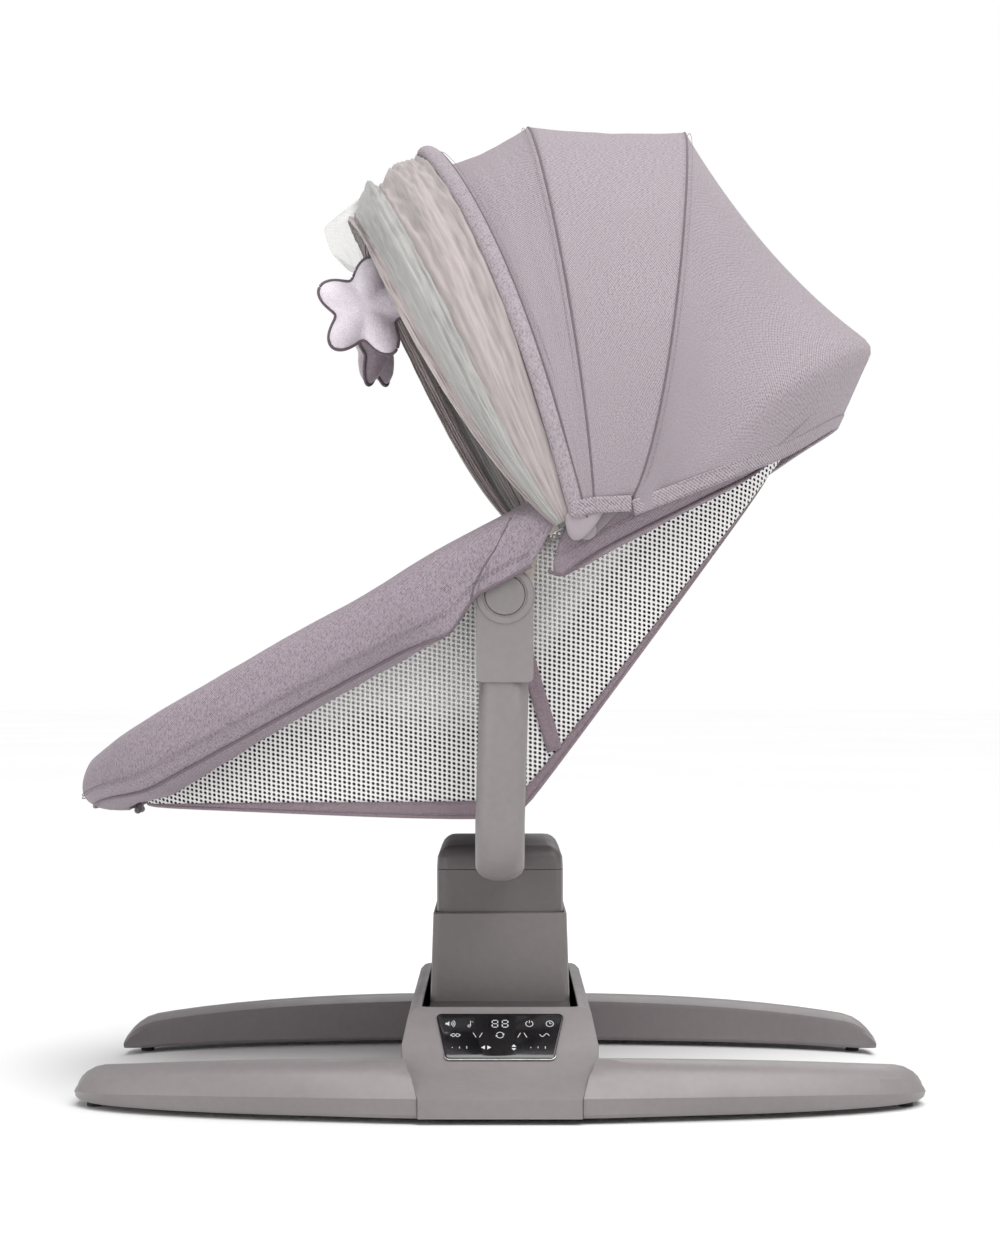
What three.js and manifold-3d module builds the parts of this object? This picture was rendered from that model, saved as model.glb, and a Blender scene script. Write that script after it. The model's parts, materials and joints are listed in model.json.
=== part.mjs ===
// Baby swing: a bowed base with a sliding column, a lifting head, a U yoke that carries a
// reclining seat ring with its sling, a folding canopy and two hanging star toys.
// Millimetres, +Z up, +X towards the head end, -Y is the side with the control panel.

import * as THREE from 'three';
import { mergeVertices } from 'three/addons/utils/BufferGeometryUtils.js';
import Module from 'manifold-3d';

const wasm = await Module();
wasm.setup();

// ---------------------------------------------------------------- driving dimensions

const gap = 0.3;                 // clearance between touching pieces
const centreShift = 8.5;         // moves the whole swing so that its length is centred on X = 0

const legReach = 360;            // tip of each leg along X
const legOuter = { middle: 253, tip: 150 };
const legInner = { middle: 192, tip: 107 };
const legUnderside = 5;
const legTip = { from: 333, length: 28, lift: 3, pinch: 7 };
const legUndercut = { from: 80, length: 60, deep: 5 };
const footPad = { x: 342, y: 158, radius: 6.5 };

const ridgeTop = 84;
const ridgeHalfX = 82;
const housingWall = 3;
const slot = { halfX: 66, halfY: 163 };
const panelSlope = { topY: 165, topZ: 84, lowY: 211, lowZ: 41 };

const railX = 48;
const railZ = 22;
const railRadius = 5;
const rodY = 75;
const gear = { module: 1.5, teeth: 16, rackTooth: 0.26, addendum: 1.1, dedendum: 1.9 };
const pitchRadius = gear.module * gear.teeth / 2;
const slidePinionX = pitchRadius;
const liftPinion = { x: -12, z: 128 };

const sleeve = { bottomHalfX: 62, topHalfX: 58, halfY: 101, top: 157.5, wall: 2.4, corner: 8 };
const head = { halfX: 55, halfY: 97, low: 104, parting: 194.7, top: 215, corner: 12, wall: 2.5 };

const arm = { y: 225, level: 205, bend: 38, width: 41, depth: 26, top: 385 };
const hub = { x: 4, z: 428, radius: 24.5, inner: 210, outer: 239, buttonRadius: 16.4 };
const socketFoot = 357;

const ring = { footX: -345, headX: 307, halfY: 212, power: 2.8, tube: 12.5, hubHeight: 473 };
const ringGap = { frontX: -16, rearX: 44 };
const cover = { up: 22, down: 55, out: 32, skin: 3.2, frontEndX: 26, rearStartX: 38 };
const sling = { rimInset: 20, footX: -314, headX: 238, halfY: 165, floor: 243, skin: 3 };

const pivot = { x: 70, z: 480 };
const canopy = { halfY: 247.6, frontRise: 348, middleRise: 369, rearRise: 364, power: 2.2 };
const bowRadius = 3;
const canopySkin = 2;
const eyelet = { first: 244.9, step: 2, thick: 1.6, radius: 8 };

const lightStar = { x: -118, y: -55, z: 688, tip: 44 };
const darkStar = { x: -114, y: 22, z: 664, tip: 40 };
const toyHangZ = 770;

// ---------------------------------------------------------------- solid helpers

const colours = {
  shell: 0x8c8686, sleeve: 0x767171, rubber: 0x2a2a2c, gloss: 0x0b0b0d, steel: 0xb8babd,
  board: 0x1e5a3a, cream: 0xd9d2c6, mauve: 0x9a8d96, canopy: 0xb2a7ad, mesh: 0xe6e4e2,
  purple: 0x6a5c68, net: 0xcfd0c8, star: 0xd6ccd6, darkStar: 0x96878f, strap: 0x5b5560,
  nylon: 0xe9e6df,
};

const group = new THREE.Group();
group.position.x = centreShift;

function addPart(name, geometry, colour, roughness = 0.7, metalness = 0) {
  const material = new THREE.MeshStandardMaterial({ color: colour, roughness, metalness });
  const mesh = new THREE.Mesh(geometry, material);
  mesh.name = name;
  group.add(mesh);
  return mesh;
}

// Welds a triangle list into a closed mesh with its faces pointing out.
function weld(positions) {
  const loose = new THREE.BufferGeometry();
  loose.setAttribute('position', new THREE.Float32BufferAttribute(positions, 3));
  const welded = mergeVertices(loose, 1e-3);
  const index = Array.from(welded.index.array);
  const place = welded.attributes.position;
  const kept = [];
  let volume = 0;
  const a = new THREE.Vector3();
  const b = new THREE.Vector3();
  const c = new THREE.Vector3();
  for (let i = 0; i < index.length; i += 3) {
    const [p, q, r] = index.slice(i, i + 3);
    if (p === q || q === r || r === p) continue;
    a.fromBufferAttribute(place, p);
    b.fromBufferAttribute(place, q);
    c.fromBufferAttribute(place, r);
    volume += a.dot(b.cross(c));
    kept.push(p, q, r);
  }
  if (volume < 0) kept.reverse();
  welded.setIndex(kept);
  return welded;
}

function pushTriangle(positions, a, b, c) {
  positions.push(a.x, a.y, a.z, b.x, b.y, b.z, c.x, c.y, c.z);
}

// Joins neighbouring rows of points with triangles; wrap closes each row on itself.
function pushRows(positions, rows, wrap) {
  for (let i = 0; i + 1 < rows.length; i += 1) {
    const count = rows[i].length;
    const last = wrap ? count : count - 1;
    for (let j = 0; j < last; j += 1) {
      const k = (j + 1) % count;
      pushTriangle(positions, rows[i][j], rows[i + 1][j], rows[i][k]);
      pushTriangle(positions, rows[i][k], rows[i + 1][j], rows[i + 1][k]);
    }
  }
}

// Fills a ring of points, given the same outline in its own flat coordinates. The triangles
// turn the way the ring's points run, or against it when flip is set.
function pushCap(positions, points, outline, flip) {
  const turn = THREE.ShapeUtils.area(outline) > 0;
  for (const [a, b, c] of THREE.ShapeUtils.triangulateShape(outline, [])) {
    const area = THREE.ShapeUtils.area([outline[a], outline[b], outline[c]]);
    const along = (area > 0) === turn;
    if (along === flip) pushTriangle(positions, points[a], points[c], points[b]);
    else pushTriangle(positions, points[a], points[b], points[c]);
  }
}

// A solid through a row of sections with equal point counts. outline triangulates its two ends.
function loft(rings, outline) {
  const positions = [];
  pushRows(positions, rings, true);
  pushCap(positions, rings[0], outline, false);
  pushCap(positions, rings[rings.length - 1], outline, true);
  return weld(positions);
}

// A thin solid between two matching sheets of points, rows by columns.
function sheetSolid(outer, inner) {
  const positions = [];
  const lastRow = outer.length - 1;
  const lastColumn = outer[0].length - 1;
  pushRows(positions, outer, false);
  pushRows(positions, [...inner].reverse(), false);
  pushRows(positions, [inner[0], outer[0]], false);
  pushRows(positions, [outer[lastRow], inner[lastRow]], false);
  const edge = (sheet, column) => sheet.map((row) => row[column]);
  pushRows(positions, [edge(outer, 0), edge(inner, 0)], false);
  pushRows(positions, [edge(inner, lastColumn), edge(outer, lastColumn)], false);
  return weld(positions);
}

// A bowl between two matching stacks of closed rows; the last row of each closes on a line.
function bowlSolid(outer, inner) {
  const positions = [];
  pushRows(positions, outer, true);
  pushRows(positions, [...inner].reverse(), true);
  pushRows(positions, [inner[0], outer[0]], true);
  return weld(positions);
}

function solid(geometry) {
  const bare = geometry.clone();
  bare.deleteAttribute('normal');
  bare.deleteAttribute('uv');
  const merged = bare.index && geometry.userData.welded ? bare : mergeVertices(bare, 1e-4);
  return new wasm.Manifold(new wasm.Mesh({
    numProp: 3,
    vertProperties: new Float32Array(merged.attributes.position.array),
    triVerts: new Uint32Array(merged.index.array),
  }));
}

function geometryOf(body) {
  const mesh = body.getMesh();
  const geometry = new THREE.BufferGeometry();
  geometry.setAttribute('position', new THREE.BufferAttribute(new Float32Array(mesh.vertProperties), 3));
  geometry.setIndex(new THREE.BufferAttribute(new Uint32Array(mesh.triVerts), 1));
  return geometry;
}

function cut(base, ...tools) {
  return geometryOf(tools.reduce((body, tool) => body.subtract(solid(tool)), solid(base)));
}

function join(base, ...extras) {
  return geometryOf(extras.reduce((body, extra) => body.add(solid(extra)), solid(base)));
}

function overlap(base, ...tools) {
  return geometryOf(tools.reduce((body, tool) => body.intersect(solid(tool)), solid(base)));
}

// ---------------------------------------------------------------- shape helpers

function box(low, high) {
  const size = high.map((value, i) => value - low[i]);
  const middle = high.map((value, i) => (value + low[i]) / 2);
  return new THREE.BoxGeometry(...size).translate(...middle);
}

function rod(from, to, radius, sides = 16) {
  const start = new THREE.Vector3(...from);
  const end = new THREE.Vector3(...to);
  const geometry = new THREE.CylinderGeometry(radius, radius, start.distanceTo(end), sides);
  const turn = new THREE.Quaternion().setFromUnitVectors(
    new THREE.Vector3(0, 1, 0),
    end.clone().sub(start).normalize(),
  );
  geometry.applyQuaternion(turn);
  const middle = start.add(end).multiplyScalar(0.5);
  return geometry.translate(middle.x, middle.y, middle.z);
}

function shapeOf(points) {
  return new THREE.Shape(points.map(([x, y]) => new THREE.Vector2(x, y)));
}

// Extrusions of a flat outline, along Z, X or Y.
function extrudeZ(points, low, high) {
  const geometry = new THREE.ExtrudeGeometry(shapeOf(points), { depth: high - low, bevelEnabled: false });
  return geometry.translate(0, 0, low);
}

function extrudeX(pointsYZ, low, high) {
  const geometry = new THREE.ExtrudeGeometry(shapeOf(pointsYZ), { depth: high - low, bevelEnabled: false });
  const turn = new THREE.Matrix4().set(0, 0, 1, low, 1, 0, 0, 0, 0, 1, 0, 0, 0, 0, 0, 1);
  return geometry.applyMatrix4(turn);
}

function extrudeY(pointsXZ, low, high) {
  const geometry = new THREE.ExtrudeGeometry(shapeOf(pointsXZ), { depth: high - low, bevelEnabled: false });
  const turn = new THREE.Matrix4().set(1, 0, 0, 0, 0, 0, -1, high, 0, 1, 0, 0, 0, 0, 0, 1);
  return geometry.applyMatrix4(turn);
}

function roundedOutline(halfX, halfY, corner, steps = 3) {
  const points = [];
  for (let quarter = 0; quarter < 4; quarter += 1) {
    const signX = quarter === 0 || quarter === 3 ? 1 : -1;
    const signY = quarter < 2 ? 1 : -1;
    for (let step = 0; step <= steps; step += 1) {
      const angle = (quarter + step / steps) * Math.PI / 2;
      const x = signX * (halfX - corner) + corner * Math.cos(angle);
      const y = signY * (halfY - corner) + corner * Math.sin(angle);
      points.push([x, y]);
    }
  }
  return points;
}

function toVectors2(points) {
  return points.map(([x, y]) => new THREE.Vector2(x, y));
}

// Stack of level outlines: each layer is { z, points }.
function stack(layers) {
  const rings = layers.map(({ z, points }) => points.map(([x, y]) => new THREE.Vector3(x, y, z)));
  return loft(rings, toVectors2(layers[0].points));
}

function mirrorPoints(points) {
  return [...points, ...points.map(([a, b]) => [-a, b]).reverse()];
}

// Sweep of a section along a list of points. Section coordinates are (side, up); the side
// direction is level and the up direction is square to the path unless upright is set.
function sweep(path, section, { upright = false, sideHint = null } = {}) {
  const vertical = new THREE.Vector3(0, 0, 1);
  const rings = path.map((point, i) => {
    const before = path[Math.max(i - 1, 0)];
    const after = path[Math.min(i + 1, path.length - 1)];
    const along = after.clone().sub(before).normalize();
    const side = sideHint
      ? sideHint.clone().addScaledVector(along, -sideHint.dot(along)).normalize()
      : along.clone().cross(vertical).normalize();
    const up = upright ? vertical.clone() : side.clone().cross(along).normalize();
    const shape = typeof section === 'function' ? section(point, i) : section;
    return shape.map(([s, u]) => point.clone().addScaledVector(side, s).addScaledVector(up, u));
  });
  const outline = toVectors2(typeof section === 'function' ? section(path[0], 0) : section);
  return loft(rings, outline);
}

function ovalSection(halfSide, halfUp, sides) {
  const points = [];
  for (let i = 0; i < sides; i += 1) {
    const angle = (i + 0.5) / sides * Math.PI * 2;
    points.push([halfSide * Math.cos(angle), halfUp * Math.sin(angle)]);
  }
  return points;
}

function spread(count, from, to) {
  return Array.from({ length: count + 1 }, (_, i) => from + (to - from) * i / count);
}

function clampShare(value) {
  return Math.min(Math.max(value, 0), 1);
}

function smoothStep(value, low, high) {
  const t = Math.min(Math.max((value - low) / (high - low), 0), 1);
  return t * t * (3 - 2 * t);
}

function signedPower(value, power) {
  return Math.sign(value) * Math.abs(value) ** power;
}

// ---------------------------------------------------------------- base

function legEdge({ middle, tip }, x) {
  return tip + (middle - tip) * Math.sqrt(Math.max(1 - (x / (legReach + 2)) ** 2, 0));
}

function legSection(x) {
  const outer = legEdge(legOuter, x);
  const inner = legEdge(legInner, x);
  const wide = outer - inner;
  const share = Math.min(x / legReach, 1);
  const nose = Math.sqrt(1 - clampShare((x - legTip.from) / legTip.length) ** 2);
  const low = legUnderside + legTip.lift * (1 - nose);
  const top = low + (48 - 3 * share - 14 * share ** 3 - low) * nose;
  const crease = Math.max(low + 4, Math.min(21 - 8 * share ** 4, (low + top) / 2));
  const flare = Math.exp(-((x / 90) ** 2));
  const pinch = legTip.pinch * (1 - nose);
  const foot = outer - pinch - legUndercut.deep * clampShare((x - legUndercut.from) / legUndercut.length);
  return [
    [inner + 3 + pinch, low], [foot - 2, low],
    [foot, low + 3], [outer - 0.5 - pinch, crease],
    [outer - 0.13 * wide - 14 * flare - pinch, crease + (top - crease) * 0.6],
    [outer - 0.28 * wide - 20 * flare - pinch / 2, top - 3],
    [outer - 0.5 * wide - 9 * flare, top + nose],
    [inner + 0.24 * wide, top], [inner + 2 + pinch, top - 4 * nose],
    [inner + pinch, top - 9 * nose], [inner + pinch, low + 3],
  ];
}

// Level outline of the centre housing; legs start where it ends.
function housingPlan(grow) {
  const side = [[66, 254], [70, 241], [76, 226], [80, 211], [ridgeHalfX, 190]];
  const lower = side.map(([x, y]) => [x + grow, -y]);
  const upper = side.map(([x, y]) => [x + grow, y]).reverse();
  const half = [...lower, ...upper];
  return [...half, ...half.map(([x, y]) => [-x, y]).reverse()];
}

function housingOuter(inset) {
  const across = mirrorPoints([
    [-253 + inset, inset > 0 ? -1 : legUnderside], [-253 + inset, 21 - inset * 0.2],
    [-panelSlope.lowY + inset, panelSlope.lowZ - inset],
    [-panelSlope.topY + inset * 0.4, panelSlope.topZ - inset],
  ]);
  const along = mirrorPoints([
    [-ridgeHalfX + inset, inset > 0 ? -1 : legUnderside], [-ridgeHalfX + inset, 55],
    [-77 + inset, 78 - inset], [-73 + inset, 82.5 - inset], [-69 + inset, ridgeTop - inset],
  ]);
  return overlap(
    extrudeX(across, -100, 100),
    extrudeY(along, -260, 260),
    extrudeZ(housingPlan(-inset), -5, 100),
  );
}

const dcSocket = { x: 34, z: 14.2, radius: 5.4 };
const speaker = { from: 168, to: 180, z: 30, radius: 17 };

function buildHousing() {
  const slotCut = extrudeZ(roundedOutline(slot.halfX, slot.halfY, 6), ridgeTop - 12, ridgeTop + 5);
  const socketCut = rod([dcSocket.x, 240, dcSocket.z], [dcSocket.x, 260, dcSocket.z], dcSocket.radius + gap);
  return cut(housingOuter(0), housingOuter(housingWall), slotCut, socketCut);
}

function buildBottomShell() {
  const plate = extrudeZ(
    housingPlan(-housingWall - gap).map(([x, y]) => [x, y * 246 / 254]),
    legUnderside,
    legUnderside + 3,
  );
  const posts = [];
  const holes = [];
  for (const x of [-railX, railX]) {
    for (const side of [-1, 1]) {
      const y = side * 192;
      posts.push(box([x - 9, y - 5, legUnderside + 2], [x + 9, y + 5, railZ + 8]));
    }
    holes.push(rod([x, -194.5, railZ], [x, 194.5, railZ], railRadius + gap, 16));
  }
  return cut(join(plate, ...posts), ...holes);
}

function buildLeg(signX, signY) {
  const stations = [60, 90, 120, 155, 190, 225, 260, 290, 315, 333, 342, 349, 354, 358, legReach];
  const rings = stations.map((x) => legSection(x).map(
    ([y, z]) => new THREE.Vector3(signX * x, signY * y, z),
  ));
  const leg = loft(rings, toVectors2(legSection(stations[0])));
  return cut(leg, extrudeZ(housingPlan(gap), 0, 100));
}

addPart('base_bottom_shell', buildBottomShell(), colours.sleeve);
addPart('base_housing', buildHousing(), colours.shell, 0.45);

for (const [end, signX] of [['front', -1], ['rear', 1]]) {
  for (const [side, signY] of [['left', -1], ['right', 1]]) {
    addPart(`leg_${end}_${side}`, buildLeg(signX, signY), colours.shell, 0.45);
    const x = signX * footPad.x;
    const y = signY * footPad.y;
    const pad = rod([x, y, 0], [x, y, legUnderside - gap], footPad.radius, 20);
    addPart(`foot_pad_${end}_${side}`, pad, colours.rubber, 0.9);
  }
}

// Places a piece drawn flat (x across, y up the slope) on the sloping face below the ridge.
function onSlope(geometry, side, lift) {
  const run = panelSlope.lowY - panelSlope.topY;
  const fall = panelSlope.topZ - panelSlope.lowZ;
  const length = Math.hypot(run, fall);
  const up = [run / length, fall / length];
  const out = [fall / length, run / length];
  const turn = new THREE.Matrix4().set(
    1, 0, 0, 0,
    0, -side * up[0], side * out[0], side * (panelSlope.lowY + out[0] * lift),
    0, up[1], out[1], panelSlope.lowZ + out[1] * lift,
    0, 0, 0, 1,
  );
  const placed = geometry.applyMatrix4(turn);
  return side > 0 ? geometryOf(solid(placed)) : placed;
}

const panel = { bottomHalf: 45.5, topHalf: 53, low: 7, high: 54.6, thick: 1.6 };

function buildControlPanel() {
  const c = 4;
  const outline = [
    [-panel.bottomHalf + c, panel.low], [panel.bottomHalf - c, panel.low],
    [panel.bottomHalf, panel.low + c], [panel.topHalf, panel.high - c],
    [panel.topHalf - c, panel.high], [-panel.topHalf + c, panel.high],
    [-panel.topHalf, panel.high - c], [-panel.bottomHalf, panel.low + c],
  ];
  return onSlope(extrudeZ(outline, 0, panel.thick), -1, gap);
}

addPart('control_panel', buildControlPanel(), colours.gloss, 0.1);
addPart('display_board', onSlope(box([-42, 14, -10], [42, 50, -8.4]), -1, 0), colours.board);
addPart(
  'speaker',
  rod([0, speaker.from, speaker.z], [0, speaker.to, speaker.z], speaker.radius, 24),
  colours.rubber,
);
addPart(
  'dc_socket',
  rod([dcSocket.x, 236, dcSocket.z], [dcSocket.x, 252.6, dcSocket.z], dcSocket.radius, 20),
  colours.rubber,
);

for (const [side, sign] of [['left', -1], ['right', 1]]) {
  addPart(
    `slide_rail_${side === 'left' ? 'front' : 'rear'}`,
    rod([sign * railX, -194, railZ], [sign * railX, 194, railZ], railRadius),
    colours.steel,
    0.3,
    1,
  );
  const near = sleeve.halfY + 1;
  const far = slot.halfY - 1;
  const low = [-slot.halfX + 6, Math.min(sign * near, sign * far), ridgeTop - 5];
  const high = [slot.halfX - 6, Math.max(sign * near, sign * far), ridgeTop - 3.4];
  addPart(`slot_curtain_${side}`, box(low, high), colours.rubber, 0.9);
}

// ---------------------------------------------------------------- gears

// Outline of a straight rack: teeth along the second coordinate, pitch line at first = 0.
function rackOutline(length, back) {
  const pitch = Math.PI * gear.module;
  const half = Math.floor(length / 2 / pitch);
  const points = [[-back, -length / 2]];
  points.push([-gear.dedendum, -length / 2]);
  for (let tooth = -half; tooth < half; tooth += 1) {
    const middle = (tooth + 0.5) * pitch;
    const root = pitch * gear.rackTooth;
    const tip = root * 0.5;
    points.push([-gear.dedendum, middle - root], [gear.addendum, middle - tip]);
    points.push([gear.addendum, middle + tip], [-gear.dedendum, middle + root]);
  }
  points.push([-gear.dedendum, length / 2], [-back, length / 2]);
  return points;
}

// Outline of the pinion with the middle of a tooth gap at angle zero plus the given turn.
function pinionOutline(turn) {
  const points = [];
  const step = Math.PI * 2 / gear.teeth;
  for (let tooth = 0; tooth < gear.teeth; tooth += 1) {
    const middle = turn + tooth * step;
    const rootHalf = step * 0.27;
    const tipHalf = step * 0.11;
    for (const [radius, angle] of [
      [pitchRadius - gear.dedendum, middle - rootHalf], [pitchRadius + gear.addendum, middle - tipHalf],
      [pitchRadius + gear.addendum, middle + tipHalf], [pitchRadius - gear.dedendum, middle + rootHalf],
    ]) {
      points.push([radius * Math.cos(angle), radius * Math.sin(angle)]);
    }
  }
  return points;
}

// The rack has a tooth gap at its middle, so the pinion's tooth points straight at it.
addPart(
  'slide_rack',
  extrudeZ(rackOutline(126, 8), legUnderside + 3 + gap, 22),
  colours.nylon,
);

function buildSlidePinion() {
  const wheel = extrudeZ(pinionOutline(Math.PI), 12, 21);
  const shaft = rod([0, 0, 20], [0, 0, 36.2], 3);
  return join(wheel, shaft).translate(slidePinionX, 0, 0);
}

// ---------------------------------------------------------------- carriage and column

const plate = { low: 30, high: 36, halfX: 58, halfY: 95 };

function buildCarriagePlate() {
  const slab = extrudeZ(roundedOutline(plate.halfX, plate.halfY, 6), plate.low, plate.high);
  const blocks = [];
  const bores = [];
  for (const x of [-railX, railX]) {
    for (const y of [-70, 70]) {
      blocks.push(box([x - 9, y - 14, railZ - 8], [x + 9, y + 14, plate.low + 1]));
    }
    bores.push(rod([x, -120, railZ], [x, 120, railZ], railRadius + gap));
  }
  const shaftHole = rod([slidePinionX, 0, 20], [slidePinionX, 0, 40], 4.5);
  return cut(join(slab, ...blocks), ...bores, shaftHole);
}

function sleeveLayer(z, inset) {
  const share = (z - plate.high) / (sleeve.top - plate.high);
  const halfX = sleeve.bottomHalfX + (sleeve.topHalfX - sleeve.bottomHalfX) * share;
  return { z, points: roundedOutline(halfX - inset, sleeve.halfY - inset, sleeve.corner - inset) };
}

function buildSleeve() {
  const low = plate.high + gap;
  const soft = 1.2;
  const outer = stack([
    sleeveLayer(low, 0), sleeveLayer(sleeve.top - soft, 0), sleeveLayer(sleeve.top, soft),
  ]);
  const inner = stack([sleeveLayer(low - 5, sleeve.wall), sleeveLayer(sleeve.top + 5, sleeve.wall)]);
  return cut(outer, inner);
}

addPart('carriage_plate', buildCarriagePlate(), colours.nylon);
addPart('column_sleeve', buildSleeve(), colours.sleeve, 0.5);
addPart(
  'slide_motor',
  rod([slidePinionX + 14, 0, plate.high + 0.6], [slidePinionX + 14, 0, 78], 17, 24),
  colours.steel,
  0.35,
  1,
);
for (const [side, sign] of [['left', -1], ['right', 1]]) {
  addPart(
    `lift_rod_${side}`,
    rod([0, sign * rodY, plate.high + gap], [0, sign * rodY, 178], 5),
    colours.steel,
    0.3,
    1,
  );
}
addPart('slide_pinion', buildSlidePinion(), colours.nylon);

function buildLiftPinion() {
  const outline = pinionOutline(Math.PI);
  const wheel = extrudeY(outline, -6, 6);
  const shaft = rod([0, 5, 0], [0, 15.5, 0], 3);
  return join(wheel, shaft).translate(liftPinion.x + pitchRadius * 2, 0, liftPinion.z);
}

function buildLiftMotor() {
  const x = liftPinion.x + pitchRadius * 2;
  const body = rod([x, 16, liftPinion.z], [x, 58, liftPinion.z], 15, 24);
  const bracket = box([x - 8, 30, plate.high + gap], [x + 8, 42, liftPinion.z - 5]);
  return join(body, bracket);
}

addPart('lift_pinion', buildLiftPinion(), colours.nylon);
addPart('lift_motor', buildLiftMotor(), colours.steel, 0.35, 1);

// ---------------------------------------------------------------- lifting head and yoke

function headLayer(z, inset) {
  const corner = Math.max(head.corner - inset, 2);
  return { z, points: roundedOutline(head.halfX - inset, head.halfY - inset, corner) };
}

function buildHeadShell() {
  const outer = stack([headLayer(head.low, 0), headLayer(head.parting - gap, 0)]);
  const inner = stack([headLayer(head.low - 5, head.wall), headLayer(head.parting + 5, head.wall)]);
  return cut(outer, inner);
}

function domeLayers(grow) {
  const rise = head.top - head.parting;
  return [0, 0.5, 0.72, 0.88, 0.97, 1].map((share) => {
    const inset = 14 * (1 - Math.sqrt(1 - (Math.max(share - 0.3, 0) / 0.7) ** 2));
    return headLayer(head.parting + rise * share + grow, inset - grow);
  });
}

const spigot = { halfX: 13, halfZ: 5.5, inner: 62 };

function buildHeadCover() {
  const outer = stack(domeLayers(0));
  const inner = stack([headLayer(head.parting - 5, head.wall + 1), headLayer(head.top - 5, head.wall + 9)]);
  const hole = box(
    [-spigot.halfX - gap, -150, arm.level - spigot.halfZ - gap],
    [spigot.halfX + gap, 150, arm.level + spigot.halfZ + gap],
  );
  return cut(outer, inner, hole);
}

// Plate and guide tubes inside the head: they run on the two lift rods and hold the rack.
function buildHeadBridge() {
  const slab = extrudeZ(roundedOutline(head.halfX - 3.2, head.halfY - 3.2, 8), 182, 188);
  const tubes = [-rodY, rodY].map((y) => rod([0, y, 122], [0, y, 183], 8.5));
  const bores = [-rodY, rodY].map((y) => rod([0, y, 100], [0, y, 180], 5 + gap));
  return cut(join(slab, ...tubes), ...bores);
}

// The rack's middle is four teeth below the pinion, and its back runs up to the bridge.
function buildLiftRack() {
  const middle = liftPinion.z - 4 * Math.PI * gear.module;
  const length = 72;
  const teeth = extrudeY(rackOutline(length, 7), -5, 5).translate(0, 0, middle);
  const back = box([-7, -5, middle + length / 2 - 1], [-gear.dedendum, 5, 182 - gap]);
  return join(teeth, back).translate(liftPinion.x + pitchRadius, 0, 0);
}

// Path of one yoke arm from the head's end to its socket, for the side given by sign.
function armPath(sign) {
  const path = [];
  path.push(new THREE.Vector3(0, sign * (head.halfY + gap), arm.level));
  path.push(new THREE.Vector3(0, sign * 150, arm.level));
  for (const angle of spread(7, 0, Math.PI / 2)) {
    const y = arm.y - arm.bend + arm.bend * Math.sin(angle);
    const z = arm.level + arm.bend - arm.bend * Math.cos(angle);
    path.push(new THREE.Vector3(0, sign * y, z));
  }
  path.push(new THREE.Vector3(2, sign * arm.y, 310));
  path.push(new THREE.Vector3(hub.x, sign * arm.y, arm.top));
  return path;
}

function buildArm(sign) {
  const section = ovalSection(arm.width / 2, arm.depth / 2, 16)
    .map(([s, u]) => [signedPower(s / (arm.width / 2), 0.8) * arm.width / 2, u]);
  const tube = sweep(armPath(sign), section, { sideHint: new THREE.Vector3(1, 0, 0) });
  const ends = [sign * spigot.inner, sign * (head.halfY + 8)];
  const bar = box(
    [-spigot.halfX, Math.min(...ends), arm.level - spigot.halfZ],
    [spigot.halfX, Math.max(...ends), arm.level + spigot.halfZ],
  );
  return join(tube, bar);
}

// Socket and hub in one moulding: a disc with a skirt over the arm's top.
function buildSocket(sign) {
  const half = 23.2;
  const points = [];
  for (const angle of spread(5, Math.PI, Math.PI * 1.5)) {
    points.push([hub.x - half + 5 + 5 * Math.cos(angle), socketFoot + 5 + 5 * Math.sin(angle)]);
  }
  for (const angle of spread(5, Math.PI * 1.5, Math.PI * 2)) {
    points.push([hub.x + half - 5 + 5 * Math.cos(angle), socketFoot + 5 + 5 * Math.sin(angle)]);
  }
  for (const angle of spread(16, -0.32, Math.PI + 0.32)) {
    points.push([hub.x + hub.radius * Math.cos(angle), hub.z + hub.radius * Math.sin(angle)]);
  }
  const ends = [sign * hub.inner, sign * hub.outer];
  const body = extrudeY(points, Math.min(...ends), Math.max(...ends));
  const button = rod(
    [hub.x, sign * (hub.outer - 12), hub.z],
    [hub.x, sign * (hub.outer + 5), hub.z],
    hub.buttonRadius + gap,
    24,
  );
  const bore = sweep(
    [new THREE.Vector3(hub.x, sign * arm.y, socketFoot - 5), new THREE.Vector3(hub.x, sign * arm.y, arm.top + 1.5)],
    ovalSection(arm.width / 2 + 1.2, arm.depth / 2 + 1, 16)
      .map(([s, u]) => [signedPower(s / (arm.width / 2 + 1.2), 0.8) * (arm.width / 2 + 1.2), u]),
    { sideHint: new THREE.Vector3(1, 0, 0) },
  );
  return cut(body, button, bore);
}

addPart('head_shell', buildHeadShell(), colours.sleeve, 0.5);
addPart('head_cover', buildHeadCover(), colours.sleeve, 0.5);
addPart('head_bridge', buildHeadBridge(), colours.nylon);
addPart('lift_rack', buildLiftRack(), colours.nylon);

for (const [side, sign] of [['left', -1], ['right', 1]]) {
  addPart(`yoke_arm_${side}`, buildArm(sign), colours.shell, 0.4);
  addPart(`hub_socket_${side}`, buildSocket(sign), colours.shell, 0.45);
  addPart(
    `recline_button_${side}`,
    rod([hub.x, sign * (hub.outer - 8), hub.z], [hub.x, sign * (hub.outer + 0.8), hub.z], hub.buttonRadius, 24),
    colours.sleeve,
    0.4,
  );
}

// ---------------------------------------------------------------- seat ring

function ringHeight(x) {
  const u = hub.x - x;
  return u > 0 ? ring.hubHeight - 0.503 * u - 0.000185 * u * u : ring.hubHeight - 0.532 * u;
}

const ringMiddle = (ring.footX + ring.headX) / 2;
const ringHalfX = (ring.headX - ring.footX) / 2;

function superOval(angle, middleX, halfX, halfY, power) {
  return [
    middleX + halfX * signedPower(Math.cos(angle), 2 / power),
    halfY * signedPower(Math.sin(angle), 2 / power),
  ];
}

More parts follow.
